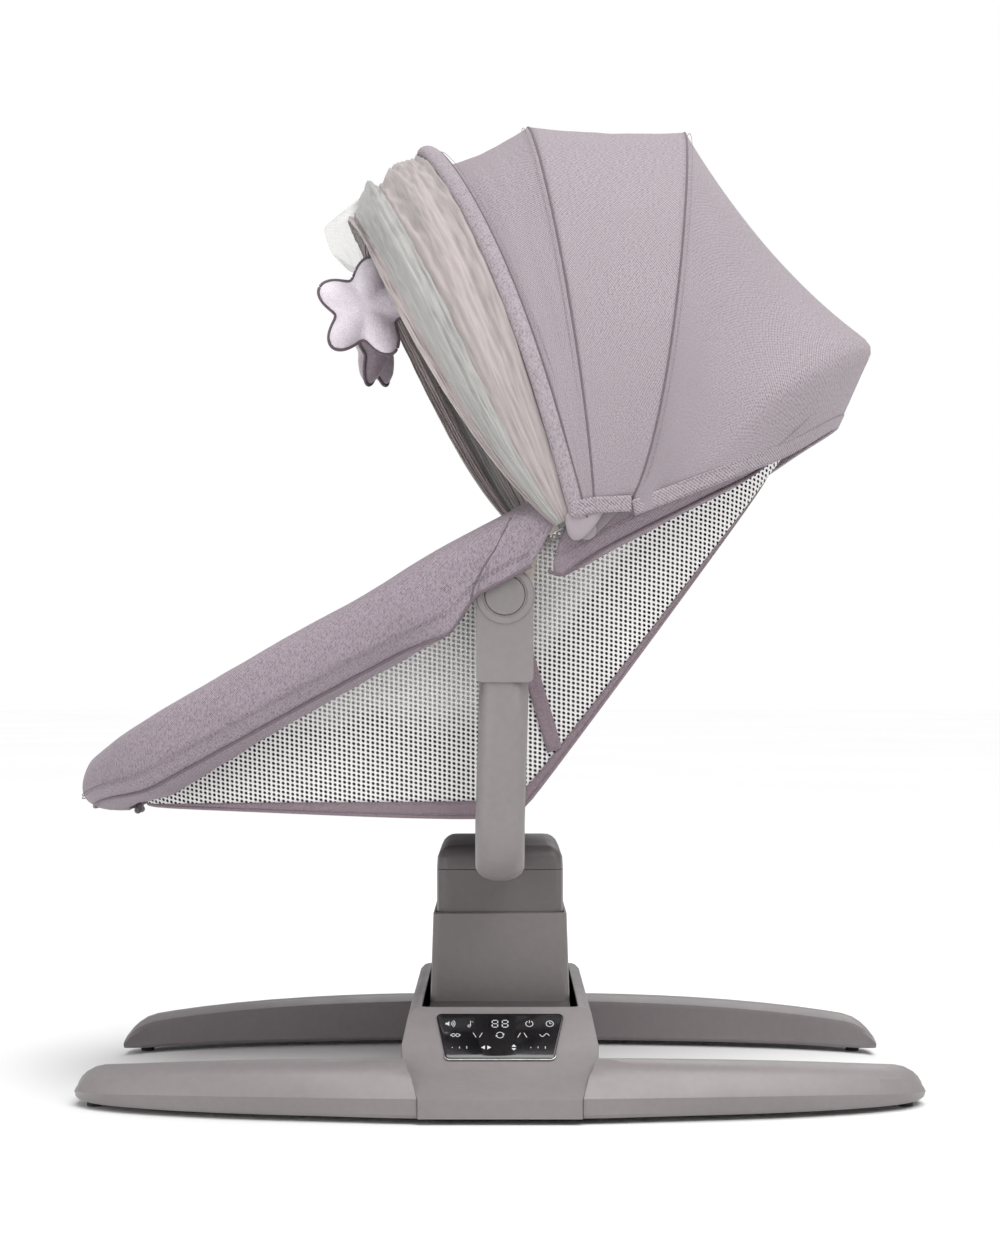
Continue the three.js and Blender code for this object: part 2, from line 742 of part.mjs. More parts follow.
// Closed curve of the tube's centre line: u = 0 at the head end, 0.5 at the foot end.
function makeRingCurve() {
  const points = [];
  for (let i = 0; i < 180; i += 1) {
    const [x, y] = superOval(i / 180 * Math.PI * 2, ringMiddle, ringHalfX, ring.halfY, ring.power);
    points.push(new THREE.Vector3(x, y, ringHeight(x)));
  }
  const curve = new THREE.CatmullRomCurve3(points, true);
  curve.arcLengthDivisions = 1500;
  return curve;
}

const ringCurve = makeRingCurve();

function ringPoint(u) {
  return ringCurve.getPointAt(((u % 1) + 1) % 1);
}

// The share of the ring's length, on the +Y side, at which the tube passes the given x.
function ringShareAt(x) {
  let low = 0.05;
  let high = 0.45;
  for (let i = 0; i < 40; i += 1) {
    const middle = (low + high) / 2;
    if (ringPoint(middle).x > x) low = middle;
    else high = middle;
  }
  return (low + high) / 2;
}

function ringPath(from, to, steps) {
  return spread(steps, from, to).map(ringPoint);
}

const railFrontShare = ringShareAt(ringGap.frontX);
const railRearShare = ringShareAt(ringGap.rearX);
const tubeSection = ovalSection(ring.tube, ring.tube, 10);

addPart(
  'seat_rail_front',
  sweep(ringPath(railFrontShare, 1 - railFrontShare, 26), tubeSection),
  colours.steel,
  0.35,
  1,
);
addPart(
  'seat_rail_rear',
  sweep(ringPath(-railRearShare, railRearShare, 24), tubeSection),
  colours.steel,
  0.35,
  1,
);

function buildConnector(sign) {
  const tubeEnds = [ringGap.rearX - 1, ringGap.frontX + 1].map((x) => {
    const point = ringPoint(ringShareAt(x));
    return [point.x, sign * Math.abs(point.y), point.z];
  });
  const tube = rod(tubeEnds[0], tubeEnds[1], ring.tube, 16);
  const outline = [];
  for (const angle of spread(14, Math.PI + 0.4, Math.PI * 2 - 0.4)) {
    outline.push([hub.x + 22 * Math.cos(angle), hub.z + 22 * Math.sin(angle)]);
  }
  outline.push([34, ringHeight(34) - 4], [-6, ringHeight(-6) - 4]);
  const ends = [sign * 200.8, sign * 208.6];
  const web = extrudeY(outline, Math.min(...ends), Math.max(...ends));
  return join(tube, web);
}

// How far the cover has thinned to a plain sleeve round the tube, towards the head end.
function thinning(x) {
  return smoothStep(x, 150, 290);
}

// Skin of the padded cover over the tube, as (outward, up) points. Near the hub the lower edge
// rises and stays outside the socket; away from it the edge curls under the tube. Towards the
// head end the whole section shrinks to a sleeve that hugs the tube.
function coverSection(x) {
  const thin = thinning(x);
  const reach = Math.abs(x - hub.x);
  const curl = smoothStep(reach, 45, 85);
  const nose = 16 * smoothStep(-x, 270, 340);
  const down = 34 + (cover.down - 34) * smoothStep(reach, 20, 48) - nose;
  const out = cover.out - 16.5 * thin;
  const up = cover.up - 6 * thin;
  const skin = cover.skin - 1.6 * thin;
  const edge = cover.out - 41 * curl;
  const middle = (cover.out + edge) / 2;
  const innerSide = -18 + 3 * thin;
  const arch = (inset) => [Math.PI, 2.4, 1.75, 1.1, 0.45].map((angle) => [
    (out + innerSide) / 2 + ((out - innerSide) / 2 - inset) * Math.cos(angle),
    (up - inset) * Math.sin(angle),
  ]);
  const mix = (full, hugging) => full.map((value, i) => value + (hugging[i] - value) * thin);
  const s = cover.skin;
  const outer = [
    mix([cover.out, -down * 0.3], [14.6, -5.5]), mix([cover.out, -down * 0.7], [10.5, -11.8]),
    mix([middle + 6 * curl, -down + 2 * curl], [4, -15.6]), mix([edge, -down], [-4, -16]),
  ];
  const inner = [
    mix([edge - s * (1 - curl), -down + s * curl], [-4, -14.4]),
    mix([middle + 5 * curl - s * (1 - curl), -down + (s + 2) * curl], [3.4, -14.1]),
    mix([cover.out - s, -down * 0.68], [9.4, -10.6]), mix([cover.out - s, -down * 0.3], [13.2, -4.9]),
  ];
  return [...arch(0), ...outer, ...inner, ...arch(skin).reverse()];
}

const coverFrontShare = ringShareAt(cover.frontEndX);
const coverRearShare = ringShareAt(cover.rearStartX);

// Going round from +Y through the foot to -Y, outward is on the path's left or right by sign.
function buildCover(from, to, steps) {
  const path = ringPath(from, to, steps);
  return sweep(path, (point) => coverSection(point.x), { upright: true });
}

addPart('rail_cover_front', buildCover(coverFrontShare, 1 - coverFrontShare, 28), colours.mauve, 0.95);
addPart('rail_cover_rear', buildCover(-coverRearShare, coverRearShare, 24), colours.purple, 0.95);

// ---------------------------------------------------------------- sling, liner and harness

// Height of the sling's bottom along X: flat floor, rounded corner, then the sloping back.
function slingFloor(x) {
  const backSlope = Math.tan(53.3 * Math.PI / 180);
  const cornerX = 14.6;
  const back = sling.floor + backSlope * (x - cornerX);
  const front = sling.floor + 7 * smoothStep(-x, 0, 280);
  const blend = 10;
  const raised = Math.max(back - front, -200);
  return front + (raised + Math.sqrt(raised * raised + blend * blend)) / 2;
}

const linerHeights = [
  [-320, 266], [-200, 272], [-60, 296], [10, 322], [60, 366], [150, 474], [232, 572],
];

function linerFloor(x) {
  for (let i = 1; i < linerHeights.length; i += 1) {
    const [x1, z1] = linerHeights[i];
    const [x0, z0] = linerHeights[i - 1];
    if (x <= x1) return z0 + (z1 - z0) * Math.max(x - x0, 0) / (x1 - x0);
  }
  return linerHeights[linerHeights.length - 1][1];
}

// One bowl surface: rows run round the ring, from the rim down the side and in to the keel.
function bowlRows({ inset, floorHalfY, floorFrom, floorTo, floorAt, rimDrop, lift }, around) {
  const rim = [];
  const floor = [];
  for (let i = 0; i < around; i += 1) {
    const angle = (i + 0.5) / around * Math.PI * 2;
    const halfX = ringHalfX - inset;
    const [x, y] = superOval(angle, ringMiddle, halfX, ring.halfY - inset, ring.power);
    rim.push(new THREE.Vector3(x, y, ringHeight(x) - rimDrop));
    const middle = (floorFrom + floorTo) / 2;
    const [fx, fy] = superOval(angle, middle, (floorTo - floorFrom) / 2, floorHalfY, 3.2);
    floor.push(new THREE.Vector3(fx, fy, floorAt(fx) + lift));
  }
  const rows = [rim];
  for (const share of [0.3, 0.6, 0.85]) {
    rows.push(rim.map((point, i) => {
      const level = point.clone().lerp(floor[i], share);
      level.z -= 4 * Math.sin(share * Math.PI);
      return level;
    }));
  }
  rows.push(floor);
  rows.push(floor.map((point) => new THREE.Vector3(point.x, point.y * 0.5, point.z - 1)));
  rows.push(floor.map((point) => new THREE.Vector3(point.x, 0, point.z - 1.5)));
  return rows;
}

function buildSling() {
  const shape = {
    inset: sling.rimInset, floorHalfY: sling.halfY, floorFrom: sling.footX, floorTo: sling.headX,
    floorAt: slingFloor, rimDrop: 14, lift: 0,
  };
  const s = sling.skin;
  const inside = {
    ...shape, inset: shape.inset + s, floorHalfY: shape.floorHalfY - s,
    floorFrom: shape.floorFrom + s, floorTo: shape.floorTo - s * 1.6, lift: s,
  };
  return bowlSolid(bowlRows(shape, 40), bowlRows(inside, 40));
}

function buildLiner() {
  const shape = {
    inset: 26, floorHalfY: 118, floorFrom: -296, floorTo: 222, floorAt: linerFloor, rimDrop: 12, lift: 0,
  };
  const inside = { ...shape, inset: 38, floorHalfY: 106, floorFrom: -284, floorTo: 206, lift: 12 };
  return bowlSolid(bowlRows(shape, 36), bowlRows(inside, 36));
}

for (const [side, sign] of [['left', -1], ['right', 1]]) {
  addPart(`seat_connector_${side}`, buildConnector(sign), colours.cream, 0.5);
}
addPart('sling', buildSling(), colours.mesh, 0.95);
addPart('seat_liner', buildLiner(), colours.star, 0.95);

const buckle = { x: -58, low: 330, high: 344, halfX: 22, halfY: 26 };

function strap(points, halfWidth, sideHint) {
  const section = [[-halfWidth, -1], [halfWidth, -1], [halfWidth, 1], [-halfWidth, 1]];
  return sweep(points.map((p) => new THREE.Vector3(...p)), section, { sideHint });
}

function buildBuckle() {
  const body = stack([
    { z: buckle.low, points: roundedOutline(buckle.halfX - 2, buckle.halfY - 2, 7) },
    { z: buckle.low + 3, points: roundedOutline(buckle.halfX, buckle.halfY, 8) },
    { z: buckle.high - 3, points: roundedOutline(buckle.halfX, buckle.halfY, 8) },
    { z: buckle.high, points: roundedOutline(buckle.halfX - 3, buckle.halfY - 3, 6) },
  ]);
  const well = rod([0, 0, buckle.high - 6], [0, 0, buckle.high + 5], 9 + gap, 20);
  return cut(body, well).translate(buckle.x, 0, 0);
}

addPart('harness_buckle', buildBuckle(), colours.rubber, 0.5);
addPart(
  'buckle_button',
  rod([buckle.x, 0, buckle.high - 3], [buckle.x, 0, buckle.high + 1.2], 9, 20),
  colours.sleeve,
);
const crotchStart = buckle.x - 64;
addPart(
  'crotch_strap',
  strap([
    [crotchStart, 0, linerFloor(crotchStart) + 13.5], [crotchStart + 18, 0, linerFloor(crotchStart) + 21],
    [crotchStart + 34, 0, 336], [buckle.x - buckle.halfX - 0.6, 0, 337],
  ], 12, new THREE.Vector3(0, 1, 0)),
  colours.strap,
);
for (const [side, sign] of [['left', -1], ['right', 1]]) {
  addPart(
    `waist_strap_${side}`,
    strap([
      [buckle.x, sign * (buckle.halfY + 0.8), 337], [buckle.x, sign * 40, 338],
      [buckle.x + 3, sign * 56, 343], [buckle.x + 9, sign * 80, 355],
      [buckle.x + 16, sign * 104, 373],
    ], 12, new THREE.Vector3(1, 0, 0)),
    colours.strap,
  );
}

// ---------------------------------------------------------------- canopy

const bows = {
  front: { rise: canopy.frontRise, x: (h) => 64 - 0.27 * h - 9.5e-7 * h ** 3 },
  middle: { rise: canopy.middleRise, x: (h) => 77 - 53 * (h / canopy.middleRise) ** 1.4 },
  rear: { rise: canopy.rearRise, x: (h) => 70 + 94 * (h / canopy.rearRise) ** 0.35 },
};

// Point of a bow at an angle from the left foot (0) over the crown to the right foot (pi).
function bowPoint({ rise, x }, angle, grow = 0) {
  const y = -(canopy.halfY + grow) * signedPower(Math.cos(angle), 2 / canopy.power);
  const lift = Math.abs(Math.sin(angle)) ** (2 / canopy.power);
  return new THREE.Vector3(x(rise * lift), y, pivot.z + (rise + grow) * lift);
}

const footAngle = 0.075;
const archSteps = 22;

// A bow's wire ends in a thin eyelet on the pivot at each side. level stacks the eyelets of
// the three bows side by side.
function buildBow(bow, level) {
  const path = spread(archSteps, footAngle, Math.PI - footAngle).map((angle) => bowPoint(bow, angle));
  const wire = sweep(path, ovalSection(bowRadius, bowRadius, 6), { sideHint: new THREE.Vector3(1, 0, 0) });
  const foot = path[0];
  const reach = new THREE.Vector2(foot.x - pivot.x, foot.z - pivot.z);
  const across = new THREE.Vector2(-reach.y, reach.x).normalize();
  const near = eyelet.first + level * eyelet.step;
  const extras = [-1, 1].map((sign) => {
    const outline = spread(9, 0, Math.PI).map((turn) => {
      const back = reach.clone().normalize().multiplyScalar(-Math.sin(turn));
      const corner = back.add(across.clone().multiplyScalar(Math.cos(turn))).multiplyScalar(eyelet.radius);
      return [pivot.x + corner.x, pivot.z + corner.y];
    });
    const tip = across.clone().multiplyScalar(2.4);
    outline.push([foot.x - tip.x, foot.z - tip.y], [foot.x + tip.x, foot.z + tip.y]);
    const ends = [sign * near, sign * (near + eyelet.thick)];
    return extrudeY(outline, Math.min(...ends), Math.max(...ends));
  });
  return join(wire, ...extras);
}

// Point beside the rear of the seat ring, matched to a bow's angle: out is measured from the
// tube's centre line and up from its height. Near the bows' feet it stays outside them.
function besideRing(angle, out, up, grow) {
  const start = ringShareAt(pivot.x + 46);
  const share = start * (1 - 2 * angle / Math.PI);
  const point = ringPoint(-share);
  const ahead = ringPoint(-share + 0.002);
  const along = ahead.sub(point).normalize();
  const outward = new THREE.Vector3(along.y, -along.x, 0).normalize();
  point.addScaledVector(outward, out(point.x));
  point.z += up(point.x);
  const clearOfBow = point.x < 170 ? canopy.halfY + grow - 30 * smoothStep(point.x, 115, 170) : 0;
  point.y = Math.sign(point.y) * Math.max(Math.abs(point.y), clearOfBow);
  return point;
}

// Edge where the rear panel turns down over the ring, outside the cover.
function shoulderPoint(angle, grow) {
  const out = (x) => cover.out + 3.6 - 14 * thinning(x) + grow;
  const up = (x) => 2 + 19 * smoothStep(x, 120, 300);
  return besideRing(angle, out, up, grow);
}

// Hem of the rear panel: below the ring at the sides and tucked under it at the head end.
function hemPoint(angle, grow) {
  const out = (x) => cover.out + 3.6 - 36 * smoothStep(x, 190, 300) + grow;
  const up = (x) => -24 - 22 * smoothStep(x, 70, 230) - grow * smoothStep(x, 190, 300);
  return besideRing(angle, out, up, grow);
}

// Sheet between two edges of the canopy. The fabric sags in slightly between them.
function panelSheet(edgeA, edgeB, sag, grow, across) {
  return spread(across, 0, 1).map((share) => spread(archSteps, footAngle, Math.PI - footAngle).map((angle) => {
    const a = edgeA(angle, grow);
    const b = edgeB(angle, grow);
    const point = a.lerp(b, share);
    const dip = sag * (4 * share * (1 - share)) ** 1.6 * Math.sin(angle) ** 2;
    const centre = new THREE.Vector3(point.x, 0, pivot.z + 120);
    const inward = centre.sub(point).normalize();
    return point.addScaledVector(inward, dip);
  }));
}

function shiftedBow(bow, shift) {
  return (angle, grow) => {
    const point = bowPoint(bow, angle, grow);
    point.x += shift;
    return point;
  };
}

function buildPanel(edgeA, edgeB, sag, across) {
  const low = bowRadius + 0.8;
  return sheetSolid(
    panelSheet(edgeA, edgeB, sag, low + canopySkin, across),
    panelSheet(edgeA, edgeB, sag, low, across),
  );
}

addPart('canopy_bow_front', buildBow(bows.front, 2), colours.nylon);
addPart('canopy_bow_middle', buildBow(bows.middle, 1), colours.nylon);
addPart('canopy_bow_rear', buildBow(bows.rear, 0), colours.nylon);

const seam = 0.5;
addPart(
  'canopy_panel_front',
  buildPanel(shiftedBow(bows.front, -5), shiftedBow(bows.middle, -seam), 4, 5),
  colours.canopy,
  0.95,
);
addPart(
  'canopy_panel_middle',
  buildPanel(shiftedBow(bows.middle, seam), shiftedBow(bows.rear, 2), 4, 6),
  colours.canopy,
  0.95,
);

// The rear panel runs from the rear bow to the shoulder over the ring, then down to the hem.
function buildRearPanel() {
  const low = bowRadius + 0.8;
  const [outer, inner] = [low + canopySkin, low].map((grow) => {
    const slope = panelSheet(shiftedBow(bows.rear, 3), shoulderPoint, 10, grow, 7);
    const turned = panelSheet(shoulderPoint, hemPoint, -3, grow, 3);
    return [...slope, ...turned.slice(1)];
  });
  return sheetSolid(outer, inner);
}

addPart('canopy_panel_rear', buildRearPanel(), colours.canopy, 0.95);

// Gathered net: a broad bundle that hangs forward and down from the front bow and narrows to
// a point at each foot.
const net = { slope: 0.6, width: 80, thick: 5 };

function buildNet() {
  const rings = spread(20, 0.2, Math.PI - 0.2).map((angle) => {
    const rise = Math.sin(angle);
    const middle = bowPoint(bows.front, angle, 0);
    const width = 6 + net.width * (1 - Math.exp(-3.3 * rise)) * (1 - 0.15 * rise ** 6);
    const half = 2 + net.thick * rise;
    const outward = new THREE.Vector3(0, middle.y, (middle.z - pivot.z) * 0.9).normalize();
    const forward = new THREE.Vector3(-Math.sqrt(1 - net.slope ** 2), 0, -net.slope);
    return ovalSection(width / 2, half, 8).map(([s, u]) => middle.clone()
      .addScaledVector(forward, bowRadius + 7 + width / 2 - s)
      .addScaledVector(outward, u - half * 0.4));
  });
  return loft(rings, toVectors2(ovalSection(10, 4, 8)));
}

addPart('canopy_net', buildNet(), colours.net, 0.9);

// ---------------------------------------------------------------- star toys

// Plump five-pointed star in the XZ plane with its hanging ribbon, about its own centre.
function buildStar({ x, y, z, tip }, turn, thick) {
  const rim = [];
  for (let i = 0; i < 10; i += 1) {
    const radius = i % 2 === 0 ? tip : tip * 0.61;
    const angle = Math.PI / 2 + i * Math.PI / 5;
    rim.push([radius * Math.cos(angle), radius * Math.sin(angle)]);
  }
  const layers = [[-0.5, 0.35], [-0.42, 0.72], [-0.2, 0.95], [0, 1], [0.2, 0.95], [0.42, 0.72], [0.5, 0.35]];
  const rings = layers.map(([depth, size]) => rim.map(
    ([a, b]) => new THREE.Vector3(a * size, depth * thick, b * size),
  ));
  const star = loft(rings, toVectors2(rim));
  const ribbon = box([-3, -1, tip - 6], [3, 1, toyHangZ - z]);
  const whole = join(star, ribbon);
  return whole.rotateZ(turn).translate(x, y, z);
}

addPart('star_toy_light', buildStar(lightStar, 0, 28), colours.star, 0.95);
addPart('star_toy_dark', buildStar(darkStar, 1.2, 26), colours.darkStar, 0.95);

export default group;
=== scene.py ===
"""Looks of the baby swing: plastics, padded covers, mesh sling, canopy, net and toys."""
import json
import math

import bpy
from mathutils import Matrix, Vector, noise


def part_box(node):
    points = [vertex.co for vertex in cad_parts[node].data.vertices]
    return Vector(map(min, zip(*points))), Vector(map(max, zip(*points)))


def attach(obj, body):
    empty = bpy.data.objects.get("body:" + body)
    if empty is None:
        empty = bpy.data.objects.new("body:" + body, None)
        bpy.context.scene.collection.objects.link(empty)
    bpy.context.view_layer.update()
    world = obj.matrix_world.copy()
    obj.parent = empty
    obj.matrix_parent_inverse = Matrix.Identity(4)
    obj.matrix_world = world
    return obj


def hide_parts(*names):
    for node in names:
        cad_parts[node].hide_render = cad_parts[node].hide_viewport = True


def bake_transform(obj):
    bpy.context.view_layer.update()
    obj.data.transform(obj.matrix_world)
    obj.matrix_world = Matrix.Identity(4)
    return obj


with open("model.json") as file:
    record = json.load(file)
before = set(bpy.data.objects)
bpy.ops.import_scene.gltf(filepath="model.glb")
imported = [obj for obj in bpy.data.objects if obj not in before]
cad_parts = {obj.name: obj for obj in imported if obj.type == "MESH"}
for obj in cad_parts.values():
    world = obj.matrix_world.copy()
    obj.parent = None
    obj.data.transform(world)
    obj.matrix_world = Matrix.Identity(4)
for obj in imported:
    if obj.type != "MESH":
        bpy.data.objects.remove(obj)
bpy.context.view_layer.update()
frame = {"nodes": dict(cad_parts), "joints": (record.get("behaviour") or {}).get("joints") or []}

# ---------------- places taken from the frame

joint_at = {joint["name"]: joint for joint in frame["joints"]}
hub = Vector(joint_at["seat_recline"]["pos_m"])
pivot = Vector(joint_at["canopy_rear_fold"]["pos_m"])
star_hooks = {
    "light": Vector(joint_at["star_light_swing"]["pos_m"]),
    "dark": Vector(joint_at["star_dark_swing"]["pos_m"]),
}
HUB_X = 0.004                            # the hub in the design's own X
mid_x = hub.x - HUB_X                    # the design's own X = 0, in the row frame

# ---------------- driving dimensions, metres

RING_FOOT, RING_HEAD, RING_HALF, RING_POWER = -0.345, 0.307, 0.212, 2.8
HUB_HEIGHT = hub.z + 0.045
COVER_OUT, COVER_UP, COVER_DOWN = 0.032, 0.0165, 0.055
SLING_FOOT, SLING_HEAD, SLING_HALF, SLING_FLOOR = -0.314, 0.238, 0.165, 0.243
BACK_SLOPE, BACK_FOOT_X = math.tan(math.radians(53.3)), 0.0146
CANOPY_HALF = 0.2476
RISE = {"front": 0.348, "middle": 0.369, "rear": 0.364}
PIVOT_X = pivot.x - mid_x
FABRIC_LIFT = 0.0052                     # canopy fabric outside the bows' centre lines
ARCH_STEPS = 110
SIDES = (("left", -1), ("right", 1))


def smooth_step(value, low, high):
    t = min(max((value - low) / (high - low), 0.0), 1.0)
    return t * t * (3 - 2 * t)


def signed_power(value, power):
    return math.copysign(abs(value) ** power, value)


def spread(count, start, end):
    return [start + (end - start) * i / count for i in range(count + 1)]


def around(count):
    """Angles of a full turn, evenly spaced, without the closing one."""
    return [2 * math.pi * k / count for k in range(count)]


def square_to(along):
    """Two directions that are square to the given one and to each other."""
    hint = Vector((0, 0, 1)) if abs(along.z) < 0.9 else Vector((1, 0, 0))
    side = along.cross(hint).normalized()
    return side, side.cross(along)


def bisect(low, high, is_before, rounds=22):
    """The place between low and high where is_before turns from true to false."""
    for _ in range(rounds):
        middle = (low + high) / 2
        if is_before(middle):
            low = middle
        else:
            high = middle
    return low


def shifted(x, y, z):
    """A point of the design as a point of the row frame."""
    return Vector((x + mid_x, y, z))


# ---------------- materials


class Field:
    """A number that varies over a surface: a node's output, joined to others by operators."""

    def __init__(self, surface, socket):
        self.surface = surface
        self.socket = socket

    def __add__(self, other):
        return self.surface.math("ADD", self, other)

    def __sub__(self, other):
        return self.surface.math("SUBTRACT", self, other)

    def __mul__(self, other):
        return self.surface.math("MULTIPLY", self, other)

    def __truediv__(self, other):
        return self.surface.math("DIVIDE", self, other)


class Surface:
    """A node material with short calls for the nodes that the fabrics and plastics share."""

    def __init__(self, name, roughness, sheen=0.0, coat=0.0, metallic=0.0):
        self.material = bpy.data.materials.new(name)
        self.material.use_nodes = True
        self.tree = self.material.node_tree
        self.shader = self.tree.nodes["Principled BSDF"]
        self.shader.inputs["Roughness"].default_value = roughness
        self.shader.inputs["Sheen Weight"].default_value = sheen
        self.shader.inputs["Coat Weight"].default_value = coat
        self.shader.inputs["Metallic"].default_value = metallic
        self.place = self.add("ShaderNodeTexCoord")

    def add(self, kind, **values):
        node = self.tree.nodes.new(kind)
        for key, value in values.items():
            setattr(node, key, value)
        return node

    def link(self, output, target):
        self.tree.links.new(output.socket if isinstance(output, Field) else output, target)

    def math(self, operation, first, second=None):
        node = self.add("ShaderNodeMath", operation=operation)
        for socket, value in zip(node.inputs, (first, second)):
            if isinstance(value, (int, float)):
                socket.default_value = value
            elif value is not None:
                self.link(value, socket)
        return Field(self, node.outputs[0])

    def sine(self, field):
        return self.math("SINE", field)

    def axes(self, source="Object"):
        split = self.add("ShaderNodeSeparateXYZ")
        self.link(self.place.outputs[source], split.inputs[0])
        return [Field(self, output) for output in split.outputs]

    def noise(self, scale, detail=2.0, stretch=(1, 1, 1), source="Object"):
        mapping = self.add("ShaderNodeMapping")
        mapping.inputs["Scale"].default_value = stretch
        self.link(self.place.outputs[source], mapping.inputs["Vector"])
        node = self.add("ShaderNodeTexNoise")
        node.inputs["Scale"].default_value = scale
        node.inputs["Detail"].default_value = detail
        self.link(mapping.outputs[0], node.inputs["Vector"])
        return Field(self, node.outputs["Fac"])

    def ramp(self, factor, stops):
        node = self.add("ShaderNodeValToRGB")
        ramp = node.color_ramp
        while len(ramp.elements) < len(stops):
            ramp.elements.new(0.5)
        for element, (position, colour) in zip(ramp.elements, stops):
            element.position = position
            element.color = (*colour, 1)
        self.link(factor, node.inputs[0])
        return node.outputs[0]

    def tint(self, colour, factor, low, high):
        """Multiplies a colour by a grey that runs from low to high with factor."""
        grey = self.ramp(factor, [(0.3, (low,) * 3), (0.7, (high,) * 3)])
        mix = self.add("ShaderNodeMix", data_type="RGBA", blend_type="MULTIPLY")
        mix.inputs[0].default_value = 1.0
        self.link(colour, mix.inputs[6])
        self.link(grey, mix.inputs[7])
        return mix.outputs[2]

    def colour(self, output):
        self.link(output, self.shader.inputs["Base Color"])

    def bump(self, height, strength, distance):
        node = self.add("ShaderNodeBump")
        node.inputs["Strength"].default_value = strength
        node.inputs["Distance"].default_value = distance
        self.link(height, node.inputs["Height"])
        self.link(node.outputs[0], self.shader.inputs["Normal"])

    def open_where(self, solid):
        """Lets light through where solid is 0."""
        clear = self.add("ShaderNodeBsdfTransparent")
        mix = self.add("ShaderNodeMixShader")
        self.link(solid, mix.inputs[0])
        self.link(clear.outputs[0], mix.inputs[1])
        self.link(self.shader.outputs[0], mix.inputs[2])
        self.link(mix.outputs[0], self.tree.nodes["Material Output"].inputs[0])


def linear(red, green, blue):
    """Display colour, 0 to 255, as the linear colour that shaders use."""
    def channel(value):
        value /= 255
        return value / 12.92 if value <= 0.04045 else ((value + 0.055) / 1.055) ** 2.4
    return (channel(red), channel(green), channel(blue))


def scaled(colour, factor):
    return tuple(min(value * factor, 1.0) for value in colour)


def plastic(name, colour, roughness=0.42, grain=0.12, coat=0.0):
    """Moulded plastic: a fine spark-eroded grain, faint flow marks and slightly uneven gloss."""
    s = Surface(name, roughness, coat=coat)
    flow = s.noise(9, 3)
    base = s.ramp(flow, [(0.25, scaled(colour, 0.93)), (0.75, scaled(colour, 1.06))])
    s.colour(s.tint(base, s.noise(160, 2), 0.97, 1.03))
    gloss = s.ramp(s.noise(26, 3), [(0.3, (roughness - 0.05,) * 3), (0.7, (roughness + 0.06,) * 3)])
    s.link(gloss, s.shader.inputs["Roughness"])
    s.bump(s.noise(1500, 1), grain, 0.0004)
    return s.material


def metal(name, colour, roughness=0.3):
    """Drawn metal with fine lines along it."""
    s = Surface(name, roughness, metallic=1.0)
    lines = s.noise(420, 2, stretch=(1, 0.05, 1))
    s.colour(s.ramp(lines, [(0.3, scaled(colour, 0.85)), (0.7, scaled(colour, 1.08))]))
    s.bump(lines, 0.1, 0.0003)
    return s.material


def melange(name, dark, light, source="UV", pitch=0.0024, depth=0.5, twill=0.13):
    """Heathered twill: dark and light yarns, a fine diagonal rib, and patches of uneven dye."""
    s = Surface(name, 0.92, sheen=0.08)
    axes = s.axes(source)
    across = axes[0]
    along = axes[1] if source == "UV" else axes[2]
    turn = 2 * math.pi / pitch
    rib = s.sine((across + along) * turn)
    cross = s.sine((along - across) * (turn * 0.62))
    yarn = s.noise(720, 2, stretch=(1, 0.5, 1) if source == "UV" else (1, 1, 0.5), source=source)
    fleck = s.noise(1500, 1, source=source)
    total = yarn * 0.62 + fleck * 0.38 + (rib * twill + cross * (twill * 0.3))
    base = s.ramp(total, [(0.3, dark), (0.5, scaled(light, 0.84)), (0.68, light)])
    s.colour(s.tint(base, s.noise(7, 3), 0.95, 1.04))
    s.bump(total, depth, 0.0006)
    return s.material


def binding_cloth(name, dark, light):
    """Ribbed tape for bindings, piping and hems."""
    s = Surface(name, 0.88, sheen=0.2)
    x, _, z = s.axes()
    ribs = s.sine((x + z) * (2 * math.pi / 0.0014))
    total = ribs * 0.2 + s.noise(900, 2)
    s.colour(s.ramp(total, [(0.3, dark), (0.7, light)]))
    s.bump(total, 0.5, 0.0005)
    return s.material


def spacer_mesh(name, colour):
    """White spacer mesh with rows of round holes that show what is behind it."""
    s = Surface(name, 0.8, sheen=0.15)
    column, row, radius = 0.0040, 0.0038, 0.00126
    x, _, z = s.axes()
    v = (z + x * 0.2) / row
    u = x / column
    du = (s.math("FRACT", u) - 0.5) * column
    dv = (s.math("FRACT", v) - 0.5) * row
    far = s.math("SQRT", du * du + dv * dv)
    uneven = (s.noise(300, 1) - 0.5) * 0.0004
    solid = s.math("GREATER_THAN", far + uneven, radius)
    rim = far * (1 / column)
    yarn = s.noise(1400, 1)
    # Painted shade: the colour darkens to 0.78 towards each hole's edge, where the mesh dips into the
    # hole.
    base = s.ramp(rim + yarn * 0.3, [(0.2, scaled(colour, 0.78)), (0.75, colour)])
    s.colour(s.tint(base, s.noise(11, 2), 0.96, 1.02))
    s.bump(rim + yarn * 0.2, 0.5, 0.0006)
    s.open_where(solid)
    return s.material


def liner_and_shade_backing(name, dark, light):
    """Sheet just inside the spacer mesh, seen through its holes: the liner's own light colour where the
    padded liner lies behind, and painted shade (the dark colour) below it, for the shadowed inside of
    the seat.
    """
    s = Surface(name, 0.9, sheen=0.1)
    x, _, z = s.axes()
    level = z - 0.329
    behind = level + (x - (mid_x - 0.003)) * -1.34
    over = s.math("MINIMUM", level, behind)
    uneven = (s.noise(30, 3) - 0.5) * 0.05
    factor = (over + uneven) * 28.0 + 0.5
    # Painted shade: below the liner's edge the backing takes the dark colour; above it, the liner's
    # light colour.
    base = s.ramp(factor, [(0.2, dark), (0.8, light)])
    s.colour(s.tint(base, s.noise(900, 2), 0.94, 1.04))
    s.bump(s.noise(900, 2), 0.3, 0.0004)
    return s.material


